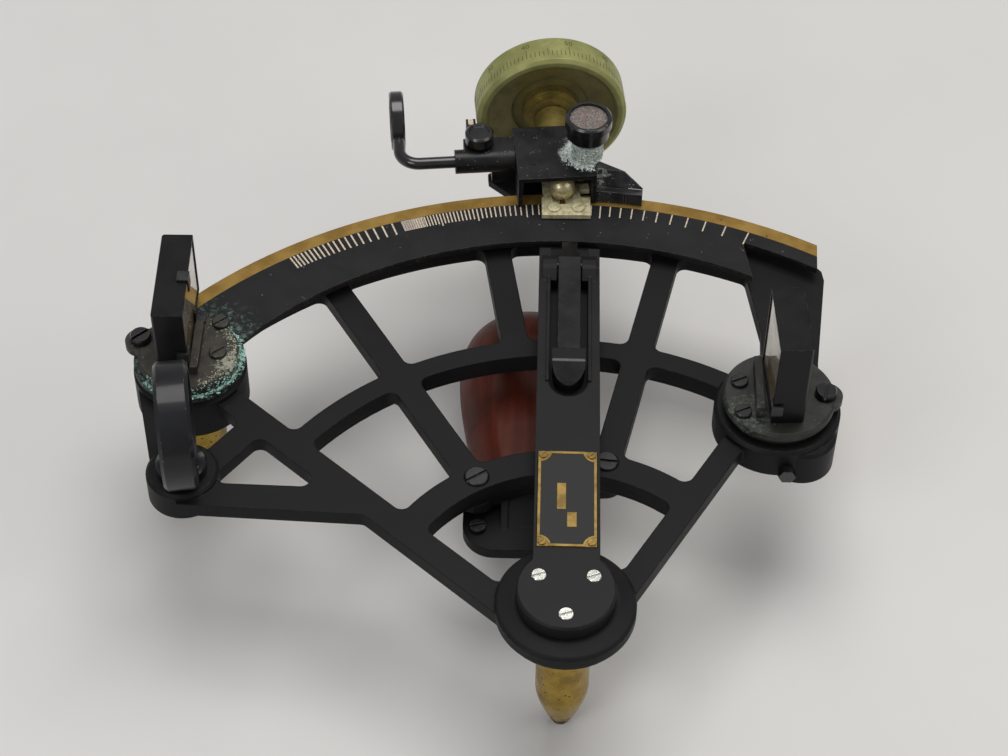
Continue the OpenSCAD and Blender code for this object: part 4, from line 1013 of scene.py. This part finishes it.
@dataclass
class Handle(SubAssembly):
    """Wooden grip on its steel tang. Sizes are in mm."""

    finishes: Finishes = coats(handle_tang=STEEL, handle=RED_WOOD)
    length: float = 98.0
    width: float = 47.0
    depth: float = 30.0
    at: Pair = (-12.0, 45.0)
    tang_top: float = -24.0
    tang_t: float = 3.0
    flat_drop: float = 0.3
    axis_rise: float = 5.0
    reach: Pair = (0.012, 0.976)
    width_powers: tuple[int, int] = (9, 14)
    depth_powers: tuple[int, int] = (6, 12)
    rings: int = 90
    sides: int = 128

    def build(self) -> None:
        """Adds the grip: an ellipse swept along +Y.

        At the share t of its length, its half width is width/2 (0.62 + 0.38 sin(150 t - 30))
        and its half depth is depth/2, each drawn in at both ends by high powers of t and 1 - t.
        Its top is cut flat where it meets the bracket.
        """
        start, span = self.reach
        t = start + span * (1 - np.cos(math.pi * np.arange(self.rings + 1) / self.rings)) / 2
        wide = 0.62 + 0.38 * np.sin(np.radians(150 * t - 30))
        far, near = self.width_powers
        half = self.width / 2 * wide * (1 - t**far) ** 0.5 * (1 - (1 - t) ** near) ** 0.5
        far, near = self.depth_powers
        deep = self.depth / 2 * (1 - t**far) ** 0.5 * (1 - (1 - t) ** near) ** 0.5
        side = 2 * math.pi * np.arange(self.sides) / self.sides
        x = half[:, None] * np.cos(side)[None] + self.at[0]
        y = np.broadcast_to((self.length * t + self.at[1])[:, None], x.shape)
        centre = self.tang_top - self.tang_t - self.depth / 2 + self.axis_rise
        z = np.minimum(deep[:, None] * np.sin(side)[None] + centre, self.tang_top - self.flat_drop)
        mesh = np.stack([x, y, z], axis=-1).reshape(-1, 3), tube_faces(self.rings + 1, self.sides)
        grip = add_piece("grip", mesh, Body.FRAME, RED_WOOD, True)
        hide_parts("handle")


@dataclass
class HorizonMirror(SubAssembly):
    """Mirror on the right boss, with the hex bolt that sets it."""

    finishes: Finishes = coats(
        horizon_base=HORIZON_BRONZE, horizon_hood=HOOD_PAINT, horizon_glass=SILVERING,
        horizon_clips=CLIP_STEEL, horizon_screws=BLACK_SCREW, horizon_ear_screw=GLOSS_BLACK,
        horizon_adjuster=GLOSS_BLACK,
    )


@dataclass
class IndexMirror(SubAssembly):
    """Mirror on the lever's pivot, crusted with copper salts. Sizes are in mm.

    The rim's crumbs lie on the base's wall and on the plate round it, the top's inside its edge.
    """

    finishes: Finishes = coats(
        index_base=INDEX_BRONZE, index_hood=HOOD_PAINT, index_glass=SILVERING, index_clips=CLIP_STEEL,
        index_screws=BROWN_SCREW, index_ear_screw=GLOSS_BLACK, lever_nut=FOOT_BRASS,
    )
    base_r: float = 15.7
    base_top: float = 3.0
    ledge_x: float = 4.6
    rim_count: int = 1500
    rim_in: float = 0.3
    rim_spread: float = 0.9
    rim_arc: Pair = (40.0, 230.0)
    rim_sizes: CrumbSizes = CrumbSizes(0.11, 0.08, 0.6)
    wall_out: float = 0.1
    wall_from: float = 0.2
    plate_h: float = 0.05
    top_count: int = 700
    top_in: float = 0.8
    top_spread: float = 1.5
    top_arc: Pair = (25.0, 200.0)
    top_sizes: CrumbSizes = CrumbSizes(0.08, 0.06, 0.4)
    seed: int = 7

    def build(self) -> None:
        """Adds both rings of crumbs."""
        rng = np.random.default_rng(self.seed)
        n = self.rim_count
        radius = self.base_r - self.rim_in + np.abs(rng.normal(0, self.rim_spread, n))
        at = MIRROR_AT + polar(radius, rng.uniform(*self.rim_arc, n))
        on_wall = radius < self.base_r + self.wall_out
        height = np.where(on_wall, rng.uniform(self.wall_from, self.base_top, n), self.plate_h)
        rim = crumbs(np.column_stack([at, height]), self.rim_sizes.draw(rng, n), rng)
        add_piece("index_crust", rim, Body.LEVER, TEAL_CRUST)
        n = self.top_count
        radius = self.base_r - self.top_in - np.abs(rng.normal(0, self.top_spread, n))
        at = MIRROR_AT + polar(radius, rng.uniform(*self.top_arc, n))
        size = self.top_sizes.draw(rng, n)
        keep = at[:, 0] - MIRROR_AT[0] > self.ledge_x
        top = crumbs(np.column_stack([at, np.full(n, self.base_top)])[keep], size[keep], rng)
        add_piece("index_top_crust", top, Body.LEVER, GREY_CRUST)


@dataclass(frozen=True)
class MarkRow:
    """A row of radial marks on the scale. Sizes are in mm and azimuths in degrees.

    Mark k stands at start - fall log((k + lead) / lead), so the gaps shrink steadily.
    """

    name: str
    count: int
    start: float
    fall: float
    lead: float
    width: float
    inner: float
    long_inner: float
    long_every: int = 10

    def azimuths(self) -> np.ndarray:
        """Azimuths of the marks."""
        return self.start - self.fall * np.log((np.arange(self.count) + self.lead) / self.lead)

    def inner_ends(self) -> np.ndarray:
        """Radii of the marks' inner ends: every tenth mark may be longer."""
        return np.where(np.arange(self.count) % self.long_every == 0, self.long_inner, self.inner)


@dataclass
class MirrorLever(SubAssembly):
    """Lever with the height scale: two stretches of marks and a worn patch. Sizes are in mm."""

    finishes: Finishes = coats(mirror_lever=LEVER_BRASS, scale_plate=SCALE_PAINT)
    rows: tuple[MarkRow, ...] = (
        MarkRow("scale_marks_main", 50, 21.5, 18.2, 6.0, width=0.42, inner=155.0, long_inner=154.0),
        MarkRow("scale_marks_left", 19, -21.4, 12.6, 10.0, width=0.55, inner=154.3, long_inner=154.3),
    )
    outer_r: float = 159.75
    sunk: float = 0.02
    proud: float = 0.03
    patch: Pair = (-20.3, -17.6)
    patch_in: float = 155.0
    patch_top: float = 0.02
    patch_steps: int = 28
    fine_from: float = 0.3
    fine_to: float = 0.1
    fine_pitch: float = 0.28
    fine_r: Pair = (155.3, 159.4)
    fine_w: float = 0.16
    fine_top: float = 0.045

    def marks(
        self, azimuths: np.ndarray, r_in: float | np.ndarray, r_out: float, width: float, top: float
    ) -> Mesh:
        """Radial marks as thin slabs.

        Args:
            azimuths: Azimuths in degrees.
            r_in: Inner radius of each.
            r_out: Outer radius.
            width: Width of a mark.
            top: Height of their tops above the plate.

        Returns:
            Vertices and faces.
        """
        inner, outer = polar(r_in, azimuths), polar(r_out, azimuths)
        a = np.radians(azimuths)
        side = np.stack([np.cos(a), -np.sin(a)], axis=-1) * (width / 2)
        corners = np.stack([inner - side, inner + side, outer + side, outer - side], axis=1)
        return slabs(corners, -self.sunk, top)

    def build(self) -> None:
        """Adds the rows of marks, and between them the patch with its fine marks."""
        for row in self.rows:
            mesh = self.marks(row.azimuths(), row.inner_ends(), self.outer_r, row.width, self.proud)
            add_piece(row.name, mesh, Body.LEVER, MARK_PAINT)
        start, end = self.patch
        steps = np.linspace(start, end, self.patch_steps)
        outline = np.concatenate([polar(self.patch_in, steps), polar(self.outer_r, steps)[::-1]])
        patch = prism(outline, -self.sunk, self.patch_top)
        add_piece("scale_patch", patch, Body.LEVER, PATCH_METAL)
        fine = np.arange(start + self.fine_from, end + self.fine_to, self.fine_pitch)
        fine_marks = self.marks(fine, *self.fine_r, self.fine_w, self.fine_top)
        add_piece("scale_patch_marks", fine_marks, Body.LEVER, INK)


@dataclass
class IndexArm(SubAssembly):
    """Arm with its bright screws and a nameplate that is left bare. Sizes are in mm."""

    finishes: Finishes = coats(
        index_arm=ARM_PAINT, arm_plate=ARM_PAINT, arm_shaft=STEEL, arm_nut=FOOT_BRASS,
        arm_screws=BRIGHT_SCREW, tail_screws=STEEL, nameplate=PLATE_BRASS, nameplate_pins=PLATE_BRASS,
    )
    plate_top: float = 2.7
    half_w: float = 8.7
    ends: Pair = (14.8, 50.6)
    notch: float = 4.1
    notch_steps: int = 19
    border: float = 0.65
    field_z: Pair = (-0.20, -0.13)
    panels: tuple[Quad, ...] = ((-3.0, 28.6, -0.4, 38.4), (0.0, 22.0, 2.8, 27.4))
    panel_z: Pair = (-0.16, -0.06)

    def corner(self, sx: int, sy: int) -> np.ndarray:
        """Hollow quarter round in one corner of the plate's field.

        Args:
            sx: 1 at the right, -1 at the left.
            sy: 1 at the far end, -1 at the near end.

        Returns:
            Array (n, 2) in mm, counter-clockwise round the field.
        """
        turn = np.radians(np.linspace(0, 90, self.notch_steps))
        centre = np.array([sx * self.half_w, self.ends[1] if sy > 0 else self.ends[0]])
        round_in = centre - self.notch * np.stack([np.cos(turn), np.sin(turn)], axis=-1) * (sx, sy)
        x, y = round_in.T
        inside = (np.abs(x) <= self.half_w - self.border) & (y <= self.ends[1] - self.border)
        kept = round_in[inside & (y >= self.ends[0] + self.border)]
        return kept[::-1] if sx * sy > 0 else kept

    def build(self) -> None:
        """Adds the plate's enamelled field, with hollow corners, and two small blank panels."""
        outline = np.concatenate([self.corner(*at) for at in ((1, 1), (-1, 1), (-1, -1), (1, -1))])
        plate = prism(outline, *(self.plate_top + z for z in self.field_z))
        add_piece("plate_field", plate, Body.ARM, PLATE_FIELD)
        panels = slabs(rectangles(*self.panels), *(self.plate_top + z for z in self.panel_z))
        add_piece("plate_panels", panels, Body.ARM, PLATE_BRASS)


@dataclass
class ReleaseLever(SubAssembly):
    """Lever on the arm, with the coil spring under its pad. Sizes are in mm."""

    finishes: Finishes = coats(
        release_lever=THUMB_BLACK, release_pin=BLACK_SCREW, release_spring=STEEL,
    )
    spring_y: float = 83.0
    low: float = -2.15
    high: float = 0.5
    coil_r: float = 2.2
    wire_r: float = 0.33
    turns: float = 3.0
    steps: int = 96
    sides: int = 10

    def build(self) -> None:
        """Adds the spring: a circle of the wire's radius carried along a helix that climbs evenly."""
        t = np.linspace(0, 1, self.steps + 1)
        around = (2 * math.pi * self.turns * t)[:, None]
        side = 2 * math.pi * np.arange(self.sides) / self.sides
        out = (self.coil_r + self.wire_r * np.cos(side))[None]
        climb = self.low + self.wire_r + t * (self.high - self.low - 2 * self.wire_r)
        z = climb[:, None] + self.wire_r * np.sin(side)[None]
        points = np.stack([out * np.cos(around), self.spring_y + out * np.sin(around), z], axis=-1)
        mesh = points.reshape(-1, 3), tube_faces(self.steps + 1, self.sides)
        spring = add_piece("pad_spring", mesh, Body.ARM, STEEL, True)
        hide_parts("release_spring")
        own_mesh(spring)


@dataclass
class Carriage(SubAssembly):
    """Block at the arm's end with the pointers, the spindle and its shoe. Sizes are in mm."""

    finishes: Finishes = coats(
        carriage_block=CARRIAGE_PAINT, index_block=INDEX_PAINT, magnifier_clamp=CARRIAGE_PAINT,
        drum_index=CARRIAGE_PAINT, drum_bearing=HUB_BRASS, spindle=PALE_BRASS, bearing_shoe=CORRODED,
        shoe_screws=CORRODED,
    )
    pointer: Quad = (-28.9, 30.6, -27.2, 33.3)
    pointer_top: float = 9.6
    sunk: float = 0.1
    proud: float = 0.06

    def build(self) -> None:
        """Adds the pale tip of the drum's pointer."""
        low, high = self.pointer_top - self.sunk, self.pointer_top + self.proud
        points, faces = slabs(rectangles(self.pointer), low, high)
        add_piece("pointer_tip", (CARRIAGE.place(points), faces), Body.ARM, MARK_PAINT)


@dataclass
class Drum(SubAssembly):
    """Drum with its hub and screw, divided into a hundred parts. Sizes are in mm."""

    finishes: Finishes = coats(drum=DRUM_SKIN, drum_hub=HUB_BRASS, lead_screw=STEEL)
    divisions: int = 100
    turn: float = 330.0
    top_mark: int = 46
    mark_w: float = 0.22
    first: float = 3.0
    lengths: Triple = (4.4, 3.4, 2.3)
    digit_h: float = 2.0
    digit_share: float = 0.7
    curve_steps: int = 3
    digits_at: float = 9.0
    sunk: float = 0.05
    proud: float = 0.03

    def digits(self, text: str) -> Mesh:
        """Outlines of a number as closed, very thin solids.

        Args:
            text: The number.

        Returns:
            Vertices in mm, centred, and faces.
        """
        curve = bpy.data.curves.new("digits", "FONT")
        curve.body, curve.size = text, self.digit_h / self.digit_share
        curve.align_x = curve.align_y = "CENTER"
        curve.resolution_u, curve.extrude = self.curve_steps, self.proud
        holder = bpy.data.objects.new("digits", curve)
        mesh = holder.to_mesh()
        flat = np.empty(len(mesh.vertices) * 3)
        mesh.vertices.foreach_get("co", flat)
        faces = [list(p.vertices) for p in mesh.polygons]
        holder.to_mesh_clear()
        bpy.data.objects.remove(holder)
        bpy.data.curves.remove(curve)
        return flat.reshape(-1, 3), faces

    def build(self) -> None:
        """Adds the marks and plain numbers, wrapped round the drum."""
        step = math.radians(self.turn) * CARRIAGE.drum_r / self.divisions
        count = np.arange(self.divisions + 1)
        at = (count - self.top_mark) * step
        tenth, fifth, other = self.lengths
        end = self.first + np.where(count % 10 == 0, tenth, np.where(count % 5 == 0, fifth, other))
        half, start = self.mark_w / 2, np.full(at.shape, self.first)
        rows = [(at - half, start), (at + half, start), (at + half, end), (at - half, end)]
        corners = np.stack([np.stack(row, axis=-1) for row in rows], axis=1)
        points, faces = slabs(corners, -self.sunk, self.proud)
        add_piece("drum_marks", (CARRIAGE.round_drum(points), faces), Body.DRUM, INK)
        points, faces = [], []
        for number in range(0, self.divisions, 10):
            found, polygons = self.digits(str(number))
            before = sum(len(p) for p in points)
            points.append(found + ((number - self.top_mark) * step, self.digits_at, 0.0))
            faces.extend([[before + i for i in polygon] for polygon in polygons])
        numbers = CARRIAGE.round_drum(np.concatenate(points)), faces
        add_piece("drum_numbers", numbers, Body.DRUM, INK)


@dataclass
class ClampKnob(SubAssembly):
    """Knob on its salt-crusted stem, with a rough disc in its top. Sizes are in mm."""

    finishes: Finishes = coats(clamp_knob=GLOSS_BLACK, clamp_stem=STEM_SALTS)
    insert: tuple[Pair, ...] = (
        (5.9, 28.3), (6.25, 28.42), (6.2, 28.5), (5.0, 28.62), (3.0, 28.72), (1.0, 28.75),
    )
    insert_sides: int = 72
    collar_r: float = 5.1
    collar_top: float = 19.8
    block_x: Pair = (-14.5, 10.8)
    count: int = 1100
    collar_share: float = 0.6
    spread: float = 1.4
    sizes: CrumbSizes = CrumbSizes(0.12, 0.08, 0.5)
    seed: int = 13

    def build(self) -> None:
        """Adds the disc, and crumbs up the collar and round it on the block's top."""
        points, faces = turned(self.insert, self.insert_sides)
        points = CARRIAGE.place(points + (*CARRIAGE.stem, 0.0))
        add_piece("knob_insert", (points, faces), Body.CLAMP, KNOB_FACE, True)
        rng = np.random.default_rng(self.seed)
        n, top = self.count, CARRIAGE.block_top
        on_collar = rng.uniform(0, 1, n) < self.collar_share
        radius = np.where(on_collar, self.collar_r, self.collar_r + np.abs(rng.normal(0, self.spread, n)))
        local = polar(radius, rng.uniform(0, 360, n)) + np.array(CARRIAGE.stem)
        height = np.where(on_collar, rng.uniform(top, self.collar_top, n), top)
        size = self.sizes.draw(rng, n)
        left, right = self.block_x
        x, y = local.T
        on_block = ~on_collar & (x > left) & (x < right) & (y > 0.0)
        place = CARRIAGE.place(np.column_stack([local, height]))
        salts = crumbs(place[on_collar], size[on_collar], rng)
        add_piece("stem_crust", salts, Body.CLAMP, WHITE_CRUST)
        salts = crumbs(place[on_block], size[on_block], rng)
        add_piece("block_crust", salts, Body.ARM, WHITE_CRUST)


@dataclass
class Magnifier(SubAssembly):
    """Lens on its bent rod, with the thumb screw that holds it."""

    finishes: Finishes = coats(
        magnifier_rod=GLOSS_BLACK, lens_ring=GLOSS_BLACK, magnifier_lens=LENS_GLASS, thumb_screw=GLOSS_BLACK,
    )


# Studio

@dataclass(frozen=True)
class PhotoCamera:
    """Where the photograph was taken from, in the shared frame: mm and degrees, clip in metres."""

    x: float = -12.8
    y: float = -408.6
    z: float = 606.5
    yaw: float = -0.82
    pitch: float = 47.93
    roll: float = 0.84
    lens: float = 84.73
    sensor: float = 36.0
    clip: Pair = (0.01, 20.0)

    def build(self) -> None:
        """Makes the camera and gives it to the scene."""
        yaw, pitch, roll = (math.radians(v) for v in (self.yaw, self.pitch, self.roll))
        ahead = Vector((math.sin(yaw) * math.cos(pitch), math.cos(yaw) * math.cos(pitch), -math.sin(pitch)))
        right = Vector((math.cos(yaw), -math.sin(yaw), 0.0))
        up = right.cross(ahead)
        side = right * math.cos(roll) + up * math.sin(roll)
        top = up * math.cos(roll) - right * math.sin(roll)
        data = bpy.data.cameras.new("camera")
        data.lens, data.sensor_width, data.sensor_fit = self.lens, self.sensor, "HORIZONTAL"
        data.clip_start, data.clip_end = self.clip
        camera = put_in_scene("camera", data)
        turn = Matrix((side, top, -ahead)).transposed().to_4x4()
        camera.matrix_world = Matrix.Translation(Vector((self.x, self.y, self.z)) * MM) @ turn
        bpy.context.scene.camera = camera


@dataclass(frozen=True)
class SoftLight:
    """A rectangular studio light. Places and sizes are in metres."""

    name: str
    at: Triple
    aim: Triple
    size: Pair
    power: float
    colour: str = "#ffffff"

    def build(self) -> None:
        """Makes the light."""
        data = bpy.data.lights.new(self.name, "AREA")
        data.shape, data.size, data.size_y = "RECTANGLE", *self.size
        data.energy, data.color = self.power, srgb(self.colour)[:3]
        light = put_in_scene(self.name, data)
        light.location = self.at
        light.rotation_euler = (Vector(self.aim) - Vector(self.at)).to_track_quat("-Z", "Y").to_euler()


@dataclass
class Studio:
    """Pale table top, soft lights, a pale surround and the camera."""

    floor: Finish = field(default_factory=lambda: TableTop("PaleLaminate"))
    reach: float = 3.0
    surround: str = "#f0f0f1"
    strength: float = 0.42
    lights: tuple[SoftLight, ...] = (
        SoftLight("ceiling", (0.10, 0.40, 1.5), (0.0, 0.08, 0.0), (1.1, 0.9), 14.0, "#fffdfa"),
        SoftLight("window", (-0.7, -0.75, 0.95), (0.0, 0.05, 0.03), (0.5, 0.6), 3.8, "#f6f8ff"),
        SoftLight("fill", (0.9, -0.2, 0.8), (0.0, 0.05, 0.03), (0.7, 0.5), 2.0, "#fffaf2"),
    )
    camera: PhotoCamera = field(default_factory=PhotoCamera)

    def build(self) -> None:
        """Makes the floor, the lights, the surround and the camera."""
        far = self.reach
        mesh = bpy.data.meshes.new("floor")
        mesh.from_pydata([(-far, -far, 0), (far, -far, 0), (far, far, 0), (-far, far, 0)], [], [(0, 1, 2, 3)])
        mesh.materials.append(self.floor.material())
        table = put_in_scene("floor", mesh)
        for light in self.lights:
            light.build()
        world = bpy.data.worlds.new("studio")
        world.use_nodes = True
        backdrop = world.node_tree.nodes["Background"]
        backdrop.inputs["Color"].default_value = srgb(self.surround)
        backdrop.inputs["Strength"].default_value = self.strength
        bpy.context.scene.world = world
        bpy.context.scene.view_settings.view_transform = "Standard"
        self.camera.build()
        LOG.info("studio: %d lights", len(self.lights))


def main() -> None:
    """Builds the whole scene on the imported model."""
    logging.basicConfig(level=logging.INFO)
    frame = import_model()
    assemblies = (
        FrameCasting(), Collar(), Handle(), HorizonMirror(), IndexMirror(), MirrorLever(), IndexArm(),
        ReleaseLever(), Carriage(), Drum(), ClampKnob(), Magnifier(),
    )
    plain = set(frame["nodes"])
    for assembly in assemblies:
        plain -= assembly.dress(frame["nodes"])
        assembly.build()
    if plain:
        raise KeyError(f"nodes without a finish: {sorted(plain)}")
    Studio().build()


if __name__ == "__main__":
    main()
